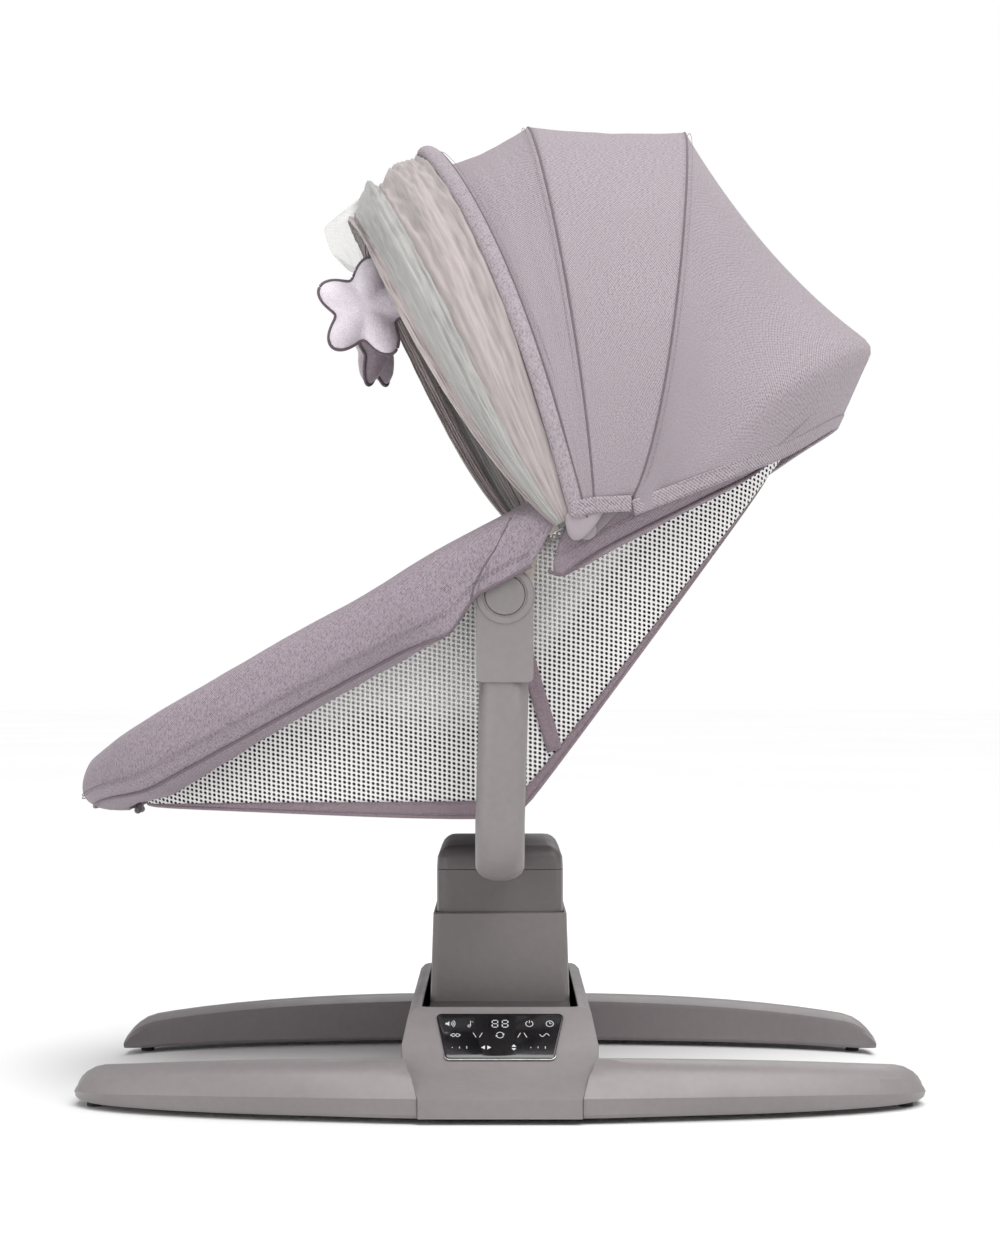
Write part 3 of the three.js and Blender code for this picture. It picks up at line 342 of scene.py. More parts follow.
def sheer_net(name, colour, cover, thread_pitch=0.0011):
    """Fine netting: mostly open, denser where the gathers turn it edge on."""
    s = Surface(name, 0.75, sheen=0.3)
    u, v, _ = s.axes("UV")
    turn = 2 * math.pi / thread_pitch
    thread = s.math("MAXIMUM", s.sine(u * turn), s.sine(v * turn))
    wide = s.noise(90, 3, stretch=(0.08, 1, 1), source="UV")
    crease = s.noise(330, 3, stretch=(0.12, 1, 1), source="UV")
    streak = wide * 0.55 + crease * 0.45
    # Painted shade and highlight along the folds: the colour runs from 0.74 to 1.08 of the net's colour
    # over the long streaks.
    shades = ((0.36, 0.74), (0.5, 0.95), (0.64, 1.08))
    s.colour(s.ramp(streak, [(stop, scaled(colour, shade)) for stop, shade in shades]))
    edge_on = s.add("ShaderNodeLayerWeight")
    edge_on.inputs[0].default_value = 0.45
    facing = Field(s, edge_on.outputs["Facing"])
    dense = thread * 0.14 + streak * 0.3 + facing * 0.35 + cover
    s.open_where(s.math("MINIMUM", s.math("MAXIMUM", dense, 0.12), 0.97))
    s.bump(streak, 0.6, 0.0016)
    return s.material


def plush(name, dark, light):
    """Short soft pile with brushed patches."""
    s = Surface(name, 0.95, sheen=0.6)
    pile = s.noise(900, 3)
    s.colour(s.tint(s.ramp(pile, [(0.3, dark), (0.65, light)]), s.noise(40, 3), 0.94, 1.04))
    s.bump(pile + s.noise(260, 3), 0.45, 0.0009)
    return s.material


SHELL = linear(135, 129, 130)
SLEEVE, HEAD = linear(122, 116, 116), linear(102, 97, 97)
MAUVE_DARK, MAUVE = linear(106, 95, 103), linear(162, 149, 158)
CANOPY_DARK, CANOPY = linear(112, 103, 109), linear(176, 165, 172)

shell_plastic = plastic("shell_plastic", SHELL, 0.4)
column_plastic = plastic("column_plastic", SLEEVE, 0.42)
head_plastic = plastic("head_plastic", HEAD, 0.42)
button_plastic = plastic("button_plastic", linear(132, 127, 127), 0.38)
cream_plastic = plastic("cream_plastic", linear(214, 206, 194), 0.45)
nylon_plastic = plastic("gear_nylon", linear(226, 224, 216), 0.5)
dark_rubber = plastic("dark_rubber", linear(52, 50, 52), 0.75, grain=0.4)
grey_rubber = plastic("curtain_rubber", linear(82, 78, 80), 0.7, grain=0.4)
gloss_black = plastic("panel_gloss", linear(12, 12, 14), 0.12, grain=0.0, coat=0.6)
board_green = plastic("board_green", linear(28, 92, 64), 0.45)
bright_steel = metal("bright_steel", (0.62, 0.63, 0.64))
tube_metal = metal("tube_metal", (0.5, 0.49, 0.49), 0.4)
bow_plastic = plastic("bow_plastic", linear(138, 129, 134), 0.5)
cover_cloth = melange("cover_cloth", MAUVE_DARK, MAUVE, source="Object", pitch=0.0019, twill=0.09)
rear_cloth = melange("rear_cloth", linear(112, 100, 108), linear(150, 136, 145), source="Object")
band_cloth = melange("band_cloth", CANOPY_DARK, CANOPY, source="Object", twill=0.06)
canopy_cloth = melange("canopy_cloth", CANOPY_DARK, CANOPY, pitch=0.0028)
floor_cloth = melange("floor_cloth", linear(104, 90, 100), linear(142, 126, 136), source="Object")
tape_cloth = binding_cloth("tape_cloth", linear(118, 102, 110), linear(158, 142, 150))
piping_cloth = binding_cloth("piping_cloth", linear(92, 80, 88), linear(126, 112, 120))
thread_cloth = binding_cloth("thread", linear(120, 108, 116), linear(150, 138, 146))
# Painted shade: the dark colour stands for the shadowed inside of the seat seen through the mesh holes;
# the light one is the liner's colour.
liner_and_shade_cloth = liner_and_shade_backing("liner_and_shade_backing", linear(98, 88, 96), linear(240, 236, 236))
sling_mesh = spacer_mesh("sling_mesh", linear(247, 245, 244))
liner_cloth = melange("liner_cloth", linear(206, 202, 200), linear(238, 235, 232), source="Object")
net_warm = sheer_net("net_warm", linear(178, 168, 167), 0.74)
net_cool = sheer_net("net_cool", linear(170, 168, 166), 0.70)
net_loop = sheer_net("net_loop", linear(226, 224, 220), -0.05)
star_cloth = plush("star_plush", linear(222, 210, 221), linear(247, 239, 247))
dark_star_cloth = plush("dark_star_plush", linear(150, 136, 146), linear(186, 172, 182))
webbing_cloth = binding_cloth("webbing_cloth", linear(70, 64, 70), linear(104, 97, 102))
icon_print = plastic("icon_print", linear(214, 216, 220), 0.4, grain=0.0)

# ---------------- mesh helpers


def make_piece(name, vertices, faces, material, body=None, smooth=True, sharp=None):
    mesh = bpy.data.meshes.new(name)
    mesh.from_pydata([tuple(v) for v in vertices], [], faces)
    mesh.update()
    if smooth:
        mesh.polygons.foreach_set("use_smooth", [True] * len(mesh.polygons))
        if sharp:
            mesh.set_sharp_from_angle(angle=math.radians(sharp))
    piece = bpy.data.objects.new(name, mesh)
    bpy.context.scene.collection.objects.link(piece)
    mesh.materials.append(material)
    if body:
        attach(piece, body)
    return piece


def grid_faces(rows, columns, wrap=False, start=0):
    last = columns if wrap else columns - 1
    return [
        (start + i * columns + j, start + i * columns + (j + 1) % columns,
         start + (i + 1) * columns + (j + 1) % columns, start + (i + 1) * columns + j)
        for i in range(rows - 1) for j in range(last)
    ]


def walked(points):
    """Distance walked along a list of points, at each of them."""
    distances = [0.0]
    for a, b in zip(points, points[1:]):
        distances.append(distances[-1] + (b - a).length)
    return distances


def add_metric_uv(mesh, rows):
    """UVs in metres: U along the middle row and V down the middle column."""
    along = walked(rows[len(rows) // 2])
    down = walked([row[len(row) // 2] for row in rows])
    layer = mesh.uv_layers.new(name="metric")
    for loop in mesh.loops:
        i, j = divmod(loop.vertex_index, len(along))
        layer.data[loop.index].uv = (along[j], down[i])


def sheet_piece(name, rows, material, thickness=0.0012, body=None):
    """One sheet of cloth through rows of points, with its thickness."""
    vertices = [p for row in rows for p in row]
    piece = make_piece(name, vertices, grid_faces(len(rows), len(rows[0])), material, body)
    add_metric_uv(piece.data, rows)
    solidify = piece.modifiers.new("thickness", "SOLIDIFY")
    solidify.thickness = thickness
    solidify.offset = 0
    return piece


def cloth_size(piece, rows):
    """Flat width, length and area of the cut that a sheet was made from."""
    area = sum(polygon.area for polygon in piece.data.polygons)
    width = max(walked(row)[-1] for row in rows)
    step = max(len(rows[0]) // 12, 1)
    length = max(walked([row[j] for row in rows])[-1] for j in range(0, len(rows[0]), step))
    return (width, length), min(max(area, 0.31 * width * length), width * length)


def declare_sheet(piece, rows):
    flat, area = cloth_size(piece, rows)


def loft_piece(name, rings, material, body=None, level=0):
    """A closed solid through sections, with both ends filled."""
    count = len(rings[0])
    faces = grid_faces(len(rings), count, wrap=True)
    faces.append(tuple(reversed(range(count))))
    faces.append(tuple(range((len(rings) - 1) * count, len(rings) * count)))
    piece = make_piece(name, [p for ring in rings for p in ring], faces, material, body)
    if level:
        subdivide(piece, level)
    return piece


def subdivide(piece, level=1):
    modifier = piece.modifiers.new("subdivision", "SUBSURF")
    modifier.levels = modifier.render_levels = level


def tube_rings(path, radius, sides=10):
    """Sections of a round tube along a list of points."""
    rings = []
    for i, point in enumerate(path):
        along = (path[min(i + 1, len(path) - 1)] - path[max(i - 1, 0)]).normalized()
        side, up = square_to(along)
        rings.append([
            point + side * radius * math.cos(turn) + up * radius * math.sin(turn)
            for turn in around(sides)
        ])
    return rings


def tube_piece(name, path, radius, material, body=None, sides=10):
    return loft_piece(name, tube_rings(path, radius, sides), material, body)


def resample(path, step):
    """Points of a polyline at an even distance."""
    lengths = walked(path)
    count = max(int(lengths[-1] / step), 2)
    points = []
    k = 0
    for i in range(count + 1):
        target = lengths[-1] * i / count
        while k < len(path) - 2 and lengths[k + 1] < target:
            k += 1
        share = (target - lengths[k]) / max(lengths[k + 1] - lengths[k], 1e-9)
        points.append(path[k].lerp(path[k + 1], min(max(share, 0), 1)))
    return points


def smooth_line(points, rounds):
    """Evens out a line of points, keeping its ends."""
    for _ in range(rounds):
        inner = [(a + b * 2 + c) / 4 for a, b, c in zip(points, points[1:], points[2:])]
        points = [points[0]] + inner + [points[-1]]
    return points


def stitch_piece(name, paths, body, length=0.0032, pitch=0.0046, radius=0.00042):
    """Rows of short raised stitches along the given paths, as one mesh."""
    points_per_pitch, sides = 4, 5
    sections = ((0, 0.3), (0.25, 1.0), (0.75, 1.0), (1, 0.3))
    vertices, faces = [], []
    for path in paths:
        fine = resample(path, pitch / points_per_pitch)
        for i in range(0, len(fine) - points_per_pitch, points_per_pitch):
            start = fine[i]
            end = start.lerp(fine[i + points_per_pitch], length / pitch)
            side, up = square_to((end - start).normalized())
            base = len(vertices)
            for share, size in sections:
                centre = start.lerp(end, share)
                for turn in around(sides):
                    spoke = side * math.cos(turn) + up * math.sin(turn)
                    vertices.append(centre + spoke * radius * size)
            faces += grid_faces(len(sections), sides, wrap=True, start=base)
            faces.append(tuple(base + k for k in reversed(range(sides))))
            last = base + (len(sections) - 1) * sides
            faces.append(tuple(last + k for k in range(sides)))
    piece = make_piece(name, vertices, faces, thread_cloth)
    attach(piece, body)
    return piece


def crumple(point, coarse, fine):
    """Small soft unevenness of cloth, as a signed height."""
    return coarse * noise.noise(point * 22) + fine * noise.noise(point * 75 + Vector((3, 1, 7)))


def push_along_normals(piece, height):
    normals = [vertex.normal.copy() for vertex in piece.data.vertices]
    for vertex, normal in zip(piece.data.vertices, normals):
        vertex.co += normal * height(vertex.co)
    piece.data.update()


def puff(piece, voxel, cap, pressure=4.0, along=None):
    """Swells a closed piece as stuffed cloth: remesh, cloth with pressure, capped, applied."""
    last_frame = 20
    remesh = piece.modifiers.new("remesh", "REMESH")
    remesh.mode = "VOXEL"
    remesh.voxel_size = voxel
    bake_modifiers(piece)
    rest = [vertex.co.copy() for vertex in piece.data.vertices]
    cloth = piece.modifiers.new("cloth", "CLOTH")
    settings = cloth.settings
    settings.use_pressure = True
    settings.uniform_pressure_force = pressure
    settings.quality = 5
    settings.mass = 0.25
    settings.tension_stiffness = settings.compression_stiffness = 12
    settings.effector_weights.gravity = 0
    cloth.point_cache.frame_end = last_frame
    for step in range(1, last_frame + 1):
        bpy.context.scene.frame_set(step)
    bake_modifiers(piece)
    for vertex, start in zip(piece.data.vertices, rest):
        move = vertex.co - start
        if along:
            swell = along * move.dot(along)
            move = swell + (move - swell) * 0.15
        if move.length > cap:
            vertex.co = start + move * (cap / move.length)
    bpy.context.scene.frame_set(1)
    piece.data.update()


def bake_modifiers(piece):
    """Replaces the mesh by its evaluated mesh and drops the modifiers."""
    bpy.context.view_layer.update()
    evaluated = piece.evaluated_get(bpy.context.evaluated_depsgraph_get())
    mesh = bpy.data.meshes.new_from_object(evaluated)
    mesh.polygons.foreach_set("use_smooth", [True] * len(mesh.polygons))
    piece.modifiers.clear()
    piece.data = mesh


# ---------------- camera, light and floor


def add_lamp(name, kind, power, place, look):
    """A lamp at a place that shines along the direction look."""
    light = bpy.data.lights.new(name, kind)
    light.energy = power
    lamp = bpy.data.objects.new(name, light)
    lamp.location = place
    lamp.rotation_euler = Vector(look).to_track_quat("-Z", "Y").to_euler()
    bpy.context.scene.collection.objects.link(lamp)
    return light


def area_light(name, place, target, size, power):
    light = add_lamp(name, "AREA", power, place, Vector(target) - Vector(place))
    light.shape = "RECTANGLE"
    light.size, light.size_y = size


def build_stage():
    camera_data = bpy.data.cameras.new("camera")
    camera_data.lens = 71.4
    camera_data.sensor_width = 36
    camera_data.shift_y = 0.046
    camera = bpy.data.objects.new("camera", camera_data)
    camera.location = (mid_x, -2.25, 0.357)
    camera.rotation_euler = (math.pi / 2, 0, 0)
    bpy.context.scene.collection.objects.link(camera)
    bpy.context.scene.camera = camera

    paint = Surface("floor_paint", 0.9)
    shades = [(0.3, (0.86, 0.86, 0.86)), (0.7, (0.88, 0.88, 0.88))]
    paint.colour(paint.ramp(paint.noise(0.6, 1), shades))
    corners = [(-30, -30, 0), (30, -30, 0), (30, 30, 0), (-30, 30, 0)]
    make_piece("floor", corners, [(0, 1, 2, 3)], paint.material)

    area_light("key", (1.5, -2.1, 2.5), (0, 0, 0.45), (1.5, 1.3), 25)
    add_lamp("sky", "SUN", 2.4, (0, 0, 0), (-0.15, 0.22, -1)).angle = math.radians(50)
    area_light("fill", (-2.2, -2.1, 1.0), (0, 0, 0.5), (1.4, 1.4), 17)
    area_light("back", (0.4, 2.3, 1.6), (0, 0, 0.5), (2.0, 1.2), 10)
    world = bpy.data.worlds.new("studio")
    world.use_nodes = True
    tree = world.node_tree
    background = tree.nodes["Background"]
    background.inputs[0].default_value = (1, 1, 1, 1)
    seen = tree.nodes.new("ShaderNodeLightPath")
    strength = tree.nodes.new("ShaderNodeMapRange")
    strength.inputs["To Min"].default_value = 0.44
    strength.inputs["To Max"].default_value = 1.0
    tree.links.new(seen.outputs["Is Camera Ray"], strength.inputs["Value"])
    tree.links.new(strength.outputs["Result"], background.inputs[1])
    bpy.context.scene.world = world
    bpy.context.scene.view_settings.view_transform = "Standard"


# ---------------- hard parts of the frame


def finish_cad_node(node, material, bevel=0.0):
    """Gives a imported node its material, rounded edges and smooth shading."""
    piece = frame["nodes"][node]
    piece.data.materials.clear()
    piece.data.materials.append(material)
    weld = piece.modifiers.new("weld", "WELD")
    weld.merge_threshold = 1e-5
    if bevel:
        rounding = piece.modifiers.new("rounding", "BEVEL")
        rounding.width = bevel
        rounding.segments = 2
        rounding.limit_method = "ANGLE"
        rounding.angle_limit = math.radians(28)
        rounding.use_clamp_overlap = True
    piece.data.polygons.foreach_set("use_smooth", [True] * len(piece.data.polygons))
    corners = piece.modifiers.new("normals", "WEIGHTED_NORMAL")
    corners.keep_sharp = True
    corners.weight = 60


def finish_frame_nodes():
    looks = {
        shell_plastic: ("base_housing", "yoke_arm", "hub_socket", "leg_"),
        column_plastic: ("base_bottom_shell", "column_sleeve"),
        head_plastic: ("head_shell", "head_cover"),
        button_plastic: ("recline_button", "buckle_button"),
        dark_rubber: ("foot_pad", "speaker", "dc_socket", "harness_buckle"),
        nylon_plastic: ("slide_rack", "slide_pinion", "lift_pinion", "lift_rack",
                        "carriage_plate", "head_bridge"),
        bright_steel: ("slide_rail", "slide_motor", "lift_motor", "lift_rod"),
        tube_metal: ("seat_rail",),
        cream_plastic: ("seat_connector",),
        board_green: ("display_board",),
        bow_plastic: ("canopy_bow",),
    }
    rounding = {"leg_": 0.0016, "base_housing": 0.0014, "column_sleeve": 0.0005, "head_cover": 0.0006,
                "hub_socket": 0.0018, "recline_button": 0.0012, "head_shell": 0.0004,
                "buckle_button": 0.0006, "harness_buckle": 0.0008, "foot_pad": 0.0005}
    for material, prefixes in looks.items():
        for node in frame["nodes"]:
            if node.startswith(prefixes):
                bevel = next((r for key, r in rounding.items() if node.startswith(key)), 0.0)
                finish_cad_node(node, material, bevel)


def build_hub_rings():
    """Raised ring round each recline button, with a shadow gap inside it."""
    profile = [
        (0.0236, -0.0010), (0.0235, 0.0004), (0.0228, 0.0011), (0.0200, 0.0013),
        (0.0186, 0.0011), (0.0179, 0.0002), (0.0178, -0.0010),
    ]
    turns, count = around(96), len(profile)
    for side, sign in SIDES:
        low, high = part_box(f"hub_socket_{side}")
        face = low.y if sign < 0 else high.y
        points = [
            Vector((hub.x + r * math.cos(turn), face + sign * lift, hub.z + r * math.sin(turn)))
            for turn in turns for r, lift in profile
        ]
        faces = []
        for i in range(len(turns)):
            this, after = i * count, (i + 1) % len(turns) * count
            for j in range(count):
                k = (j + 1) % count
                faces.append((this + j, this + k, after + k, after + j))
        make_piece(f"hub_ring_{side}", points, faces, shell_plastic, "head", sharp=40)


# ---------------- control panel


def build_control_panel():
    """Gloss panel with a bright lower rim and generic symbols, on the slope under the ridge."""
    low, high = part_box("control_panel")
    slope = Vector((0, high.y - low.y, high.z - low.z)).normalized()
    out = Vector((0, -slope.z, slope.y))
    middle = Vector(((low.x + high.x) / 2, (low.y + high.y) / 2, (low.z + high.z) / 2))
    half_height = 0.0238
    half_top, half_low = (high.x - low.x) / 2, (high.x - low.x) / 2 - 0.0075

    def place(u, v, lift):
        return middle + Vector((u, 0, 0)) + slope * v + out * lift

    def outline(inset, corner):
        points = []
        for cx, cy, start in ((1, 1, 0), (-1, 1, 1), (-1, -1, 2), (1, -1, 3)):
            half = (half_top if cy > 0 else half_low) - inset
            for step in range(7):
                turn = (start + step / 6) * math.pi / 2
                points.append((cx * (half - corner) + corner * math.cos(turn),
                               cy * (half_height - inset - corner) + corner * math.sin(turn)))
        return points

    rings = [
        [place(u, v, lift) for u, v in outline(inset, 0.0042 - inset)]
        for inset, lift in ((0, -0.0011), (0, 0.0004), (0.0004, 0.0008), (0.0012, 0.0009))
    ]
    panel = loft_piece("control_panel_face", rings, gloss_black, "base")
    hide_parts("control_panel")

    rim_points = [(u, v) for u, v in outline(-0.0006, 0.0046) if v < -half_height * 0.55]
    rim = [place(u, v, 0.0002) for u, v in rim_points]
    tube_piece("panel_rim", rim, 0.0006, bright_steel, "base", sides=8)

    lift = 0.00115
    vertices, faces = [], []

    def stroke(points, width=0.00055, closed=False):
        count = len(points)
        base = len(vertices)
        for i, (u, v) in enumerate(points):
            before = points[i - 1] if i or closed else points[i]
            after = points[(i + 1) % count] if i + 1 < count or closed else points[i]
            du, dv = after[0] - before[0], after[1] - before[1]
            size = math.hypot(du, dv) or 1
            nu, nv = -dv / size * width / 2, du / size * width / 2
            vertices.append(place(u + nu, v + nv, lift))
            vertices.append(place(u - nu, v - nv, lift))
        last = count if closed else count - 1
        for i in range(last):
            j = (i + 1) % count
            faces.append((base + 2 * i, base + 2 * i + 1, base + 2 * j + 1, base + 2 * j))

    def arc(cu, cv, radius, start, end, steps=18):
        turns = (math.radians(t) for t in spread(steps, start, end))
        return [(cu + radius * math.cos(t), cv + radius * math.sin(t)) for t in turns]

    def fill(points):
        base = len(vertices)
        vertices.extend(place(u, v, lift) for u, v in points)
        faces.append(tuple(range(base, base + len(points))))

    top, centre, bottom = 0.0125, 0.0005, -0.0125
    mm = 0.001

    def speaker_sign(u, v):
        fill([(u - 4 * mm, v - mm), (u - 2.6 * mm, v - mm), (u - 0.8 * mm, v - 2.6 * mm),
              (u - 0.8 * mm, v + 2.6 * mm), (u - 2.6 * mm, v + mm), (u - 4 * mm, v + mm)])
        for radius in (1.6, 3.0, 4.4):
            stroke(arc(u - 0.4 * mm, v, radius * mm, -50, 50))

    def note_sign(u, v):
        stroke(arc(u - 1.2 * mm, v - 2.4 * mm, 1.1 * mm, 0, 330))
        stroke([(u - 0.1 * mm, v - 2.4 * mm), (u - 0.1 * mm, v + 3 * mm), (u + 2.2 * mm, v + 1.6 * mm)])

    def digit_sign(u, v):
        w, h = 2.3 * mm, 3.6 * mm
        for x0, y0, x1, y1 in ((-w, h, w, h), (-w, 0, w, 0), (-w, -h, w, -h), (-w, 0.3 * mm, -w, h),
                               (w, 0.3 * mm, w, h), (-w, -h, -w, -0.3 * mm), (w, -h, w, -0.3 * mm)):
            a, b = (u + x0, v + y0), (u + x1, v + y1)
            trim = 0.14
            stroke([(a[0] + (b[0] - a[0]) * trim, a[1] + (b[1] - a[1]) * trim),
                    (b[0] - (b[0] - a[0]) * trim, b[1] - (b[1] - a[1]) * trim)], 0.0008)

    def power_sign(u, v):
        stroke(arc(u, v, 3 * mm, 120, 420, 26))
        stroke([(u, v + 0.6 * mm), (u, v + 3.6 * mm)])

    def clock_sign(u, v):
        stroke(arc(u, v, 3 * mm, 0, 345, 26), closed=True)
        stroke([(u, v + 2 * mm), (u, v), (u + 1.5 * mm, v)])

    def swing_sign(u, v, lean):
        for side in (-1, 1):
            top_u = u + side * 2.6 * mm + lean * side * 1.2 * mm
            low_u = u + side * 2.6 * mm - lean * side * 1.2 * mm
            stroke([(top_u, v + 2.4 * mm), (low_u, v - 2.4 * mm)])

    def wave_sign(u, v, crossed):
        stroke([(u + x * mm, v + 1.6 * mm * math.sin(x * 0.9)) for x in spread(20, -4, 4)])
        if crossed:
            stroke([(u + x * mm, v - 1.6 * mm * math.sin(x * 0.9)) for x in spread(20, -4, 4)])

    def turn_sign(u, v):
        stroke(arc(u, v, 3 * mm, 20, 160))
        stroke(arc(u, v, 3 * mm, 200, 340))
        fill([(u + 3.9 * mm, v + 1.2 * mm), (u + 1.8 * mm, v + 1.2 * mm), (u + 2.8 * mm, v - 0.6 * mm)])
        fill([(u - 3.9 * mm, v - 1.2 * mm), (u - 1.8 * mm, v - 1.2 * mm), (u - 2.8 * mm, v + 0.6 * mm)])

    def level_signs(u, v):
        for k in (-1, 0, 1):
            at, half = u + k * 6 * mm, 0.9 * mm + k * 0.4 * mm
            stroke([(at, v - half), (at, v + half)])

    def pair_sign(u, v, upright):
        for side in (-1, 1):
            points = [(side * 4.2 * mm, 0), (side * 1 * mm, 2 * mm), (side * 1 * mm, -2 * mm)]
            fill([(u + (q if upright else p), v + (p * 0.75 if upright else q)) for p, q in points])

    speaker_sign(-0.0415, top)
    note_sign(-0.0245, top)
    digit_sign(-0.0042, top)
    digit_sign(0.0042, top)
    power_sign(0.0245, top)
    clock_sign(0.0415, top)
    wave_sign(-0.037, centre, True)
    swing_sign(-0.0185, centre, 1)
    turn_sign(0.0, centre)
    swing_sign(0.0185, centre, -1)
    wave_sign(0.037, centre, False)
    level_signs(-0.0335, bottom)
    pair_sign(-0.0115, bottom, False)
    pair_sign(0.0115, bottom, True)
    level_signs(0.0315, bottom)
    make_piece("panel_symbols", vertices, faces, icon_print, "base", smooth=False)


def build_slot_curtains():
    """Pleated strips that close the slot on both sides of the sliding column."""
    for side, sign in SIDES:
        low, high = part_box(f"slot_curtain_{side}")
        near, far = (high.y, low.y) if sign < 0 else (low.y, high.y)
        pleats = 9
        rows = []
        for i in range(pleats * 8 + 1):
            share = i / (pleats * 8)
            wave = 0.5 - 0.5 * math.cos(share * pleats * 2 * math.pi)
            z = low.z + 0.0006 + 0.0012 * wave
            y = near + (far - near) * share
            rows.append([Vector((x, y, z)) for x in spread(12, low.x, high.x)])
        curtain = sheet_piece(f"slot_bellows_{side}", rows, grey_rubber, 0.0008)
        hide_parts(f"slot_curtain_{side}")
        declare_sheet(curtain, rows)
        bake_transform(curtain)


# ---------------- seat ring and its cover


def ring_height(x):
    u = HUB_X - x
    return HUB_HEIGHT - 0.503 * u - 0.185 * u * u if u > 0 else HUB_HEIGHT - 0.532 * u


def super_oval(angle, middle, half_x, half_y, power):
    return (middle + half_x * signed_power(math.cos(angle), 2 / power),
            half_y * signed_power(math.sin(angle), 2 / power))


RING_MIDDLE, RING_HALF_X = (RING_FOOT + RING_HEAD) / 2, (RING_HEAD - RING_FOOT) / 2


def make_ring_table():
    points = []
    for i in range(2400):
        x, y = super_oval(i / 2400 * 2 * math.pi, RING_MIDDLE, RING_HALF_X, RING_HALF, RING_POWER)
        points.append(Vector((x, y, ring_height(x))))
    return resample(points + [points[0]], 0.0008)


RING = make_ring_table()


def ring_at(share):
    """Centre of the tube and the outward direction, share 0 at the head end and 0.5 at the foot."""
    last = len(RING) - 1
    position = (share % 1) * last
    i = int(position)
    point = RING[i].lerp(RING[min(i + 1, last)], position - i)
    ahead, behind = RING[(i + 6) % last], RING[(i - 6) % last]
    along = ahead - behind
    outward = Vector((along.y, -along.x, 0)).normalized()
    return point, outward


def ring_share_at(x):
    """Share of the ring, on the +Y side, at which the tube passes the given x."""
    return bisect(0.04, 0.46, lambda share: ring_at(share)[0].x > x, 30)


def thinning(x):
    return smooth_step(x, 0.19, 0.295)


def cover_outline(x):
    """Closed padded section round the tube: (outward, up) points, sewn edge at the bottom."""
    thin = thinning(x)
    reach = abs(x - HUB_X)
    curl = smooth_step(reach, 0.045, 0.085)
    nose = smooth_step(-x, 0.27, 0.34)
    hub_down = 0.034
    down = hub_down + (COVER_DOWN - hub_down) * smooth_step(reach, 0.020, 0.048) - 0.022 * nose
    out = COVER_OUT - 0.0165 * thin - 0.008 * nose
    by_hub = smooth_step(x, -0.13, -0.03) * (1 - smooth_step(x, 0.0, 0.09))
    up = COVER_UP - 0.006 * thin + 0.006 * by_hub
    inner = -0.018 + 0.003 * thin
    side = COVER_OUT - 0.008 * nose
    edge = side - 0.041 * curl
    fat = 0.0025 * curl * (1 - thin)

    def mix(a, b, share):
        return (a[0] + (b[0] - a[0]) * share, a[1] + (b[1] - a[1]) * share)

    arch = [((out + inner) / 2 + (out - inner) / 2 * math.cos(a), up * math.sin(a))
            for a in (math.pi, 2.75, 2.35, 1.95, 1.55, 1.15, 0.75, 0.4)]
    outer = [
        mix((side + fat, -down * 0.12), (0.0150, -0.003), thin),
        mix((side + fat * 1.6, -down * 0.38), (0.0140, -0.0062), thin),
        mix((side + fat, -down * 0.66), (0.0112, -0.0112), thin),
        mix(((side + edge) / 2 + 0.013 * curl, -down * (0.97 - 0.08 * curl)), (0.0060, -0.0146), thin),
        mix(((side + edge) / 2 + 0.002 * curl, -down), (0.0010, -0.0158), thin),
        mix((edge, -down), (-0.004, -0.016), thin),
    ]
    inside = [
        mix(mix(opened, closed, curl), at_head, thin) for opened, closed, at_head in (
            ((0.0292, -down * 0.98), (-0.012, -down * 0.93), (-0.0075, -0.0148)),
            ((0.0288, -down * 0.62), (-0.015, -down * 0.72), (-0.0112, -0.0118)),
            ((0.018, -0.0165), (-0.0168, -down * 0.45), (-0.0138, -0.0080)),
            ((-0.010, -0.015), (-0.018, -down * 0.2), (-0.015, -0.004)),
        )
    ]
    return arch + outer + inside


def cover_point(centre, outward, o, w):
    """A section point in place; the sections lean beside the gap between the two covers."""
    lean = 1 - smooth_step(abs(centre.x - 0.032), 0.012, 0.070)
    x = centre.x + 0.8 * min(max(w + 0.034, 0.0), 0.032) * lean
    return shifted(x, centre.y, ring_height(x)) + outward * o + Vector((0, 0, w))


def cover_surface(share, index, lift=0.0006):
    """A point just outside the cover's section point of that index."""
    centre, outward = ring_at(share)
    outline = cover_outline(centre.x)
    o, w = outline[index % len(outline)]
    mid_o = sum(p[0] for p in outline) / len(outline)
    mid_w = sum(p[1] for p in outline) / len(outline)
    size = math.hypot(o - mid_o, w - mid_w)
    o += lift * (o - mid_o) / size
    w += lift * (w - mid_w) / size
    return cover_point(centre, outward, o, w)


OUTER_FACE, LOW_FACE, SEWN_EDGE = 9, 10, 12


def build_cover(name, node, start, end, steps, cloth):
    rings = []
    for share in spread(steps, start, end):
        centre, outward = ring_at(share)
        ring = []
        for k, (o, w) in enumerate(cover_outline(centre.x)):
            point = cover_point(centre, outward, o, w)
            soft = 1 - thinning(centre.x)
            dent = crumple(point, 0.0011, 0.0004) * soft
            if k >= LOW_FACE:
                dent += 0.0005 * soft * math.sin(share * steps * 2.1)
            ring.append(point + outward * dent + Vector((0, 0, dent * 0.6)))
        rings.append(ring)
    cover = loft_piece(name, rings, cloth, level=1)
    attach(cover, "seat")
    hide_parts(node)
    return cover


def cover_line(index, start, end, steps, lift=0.0006, up=0.0):
    """A line along a cover over the section points of one index."""
    shares = spread(steps, start, end)
    return [cover_surface(share, index, lift) + Vector((0, 0, up)) for share in shares]


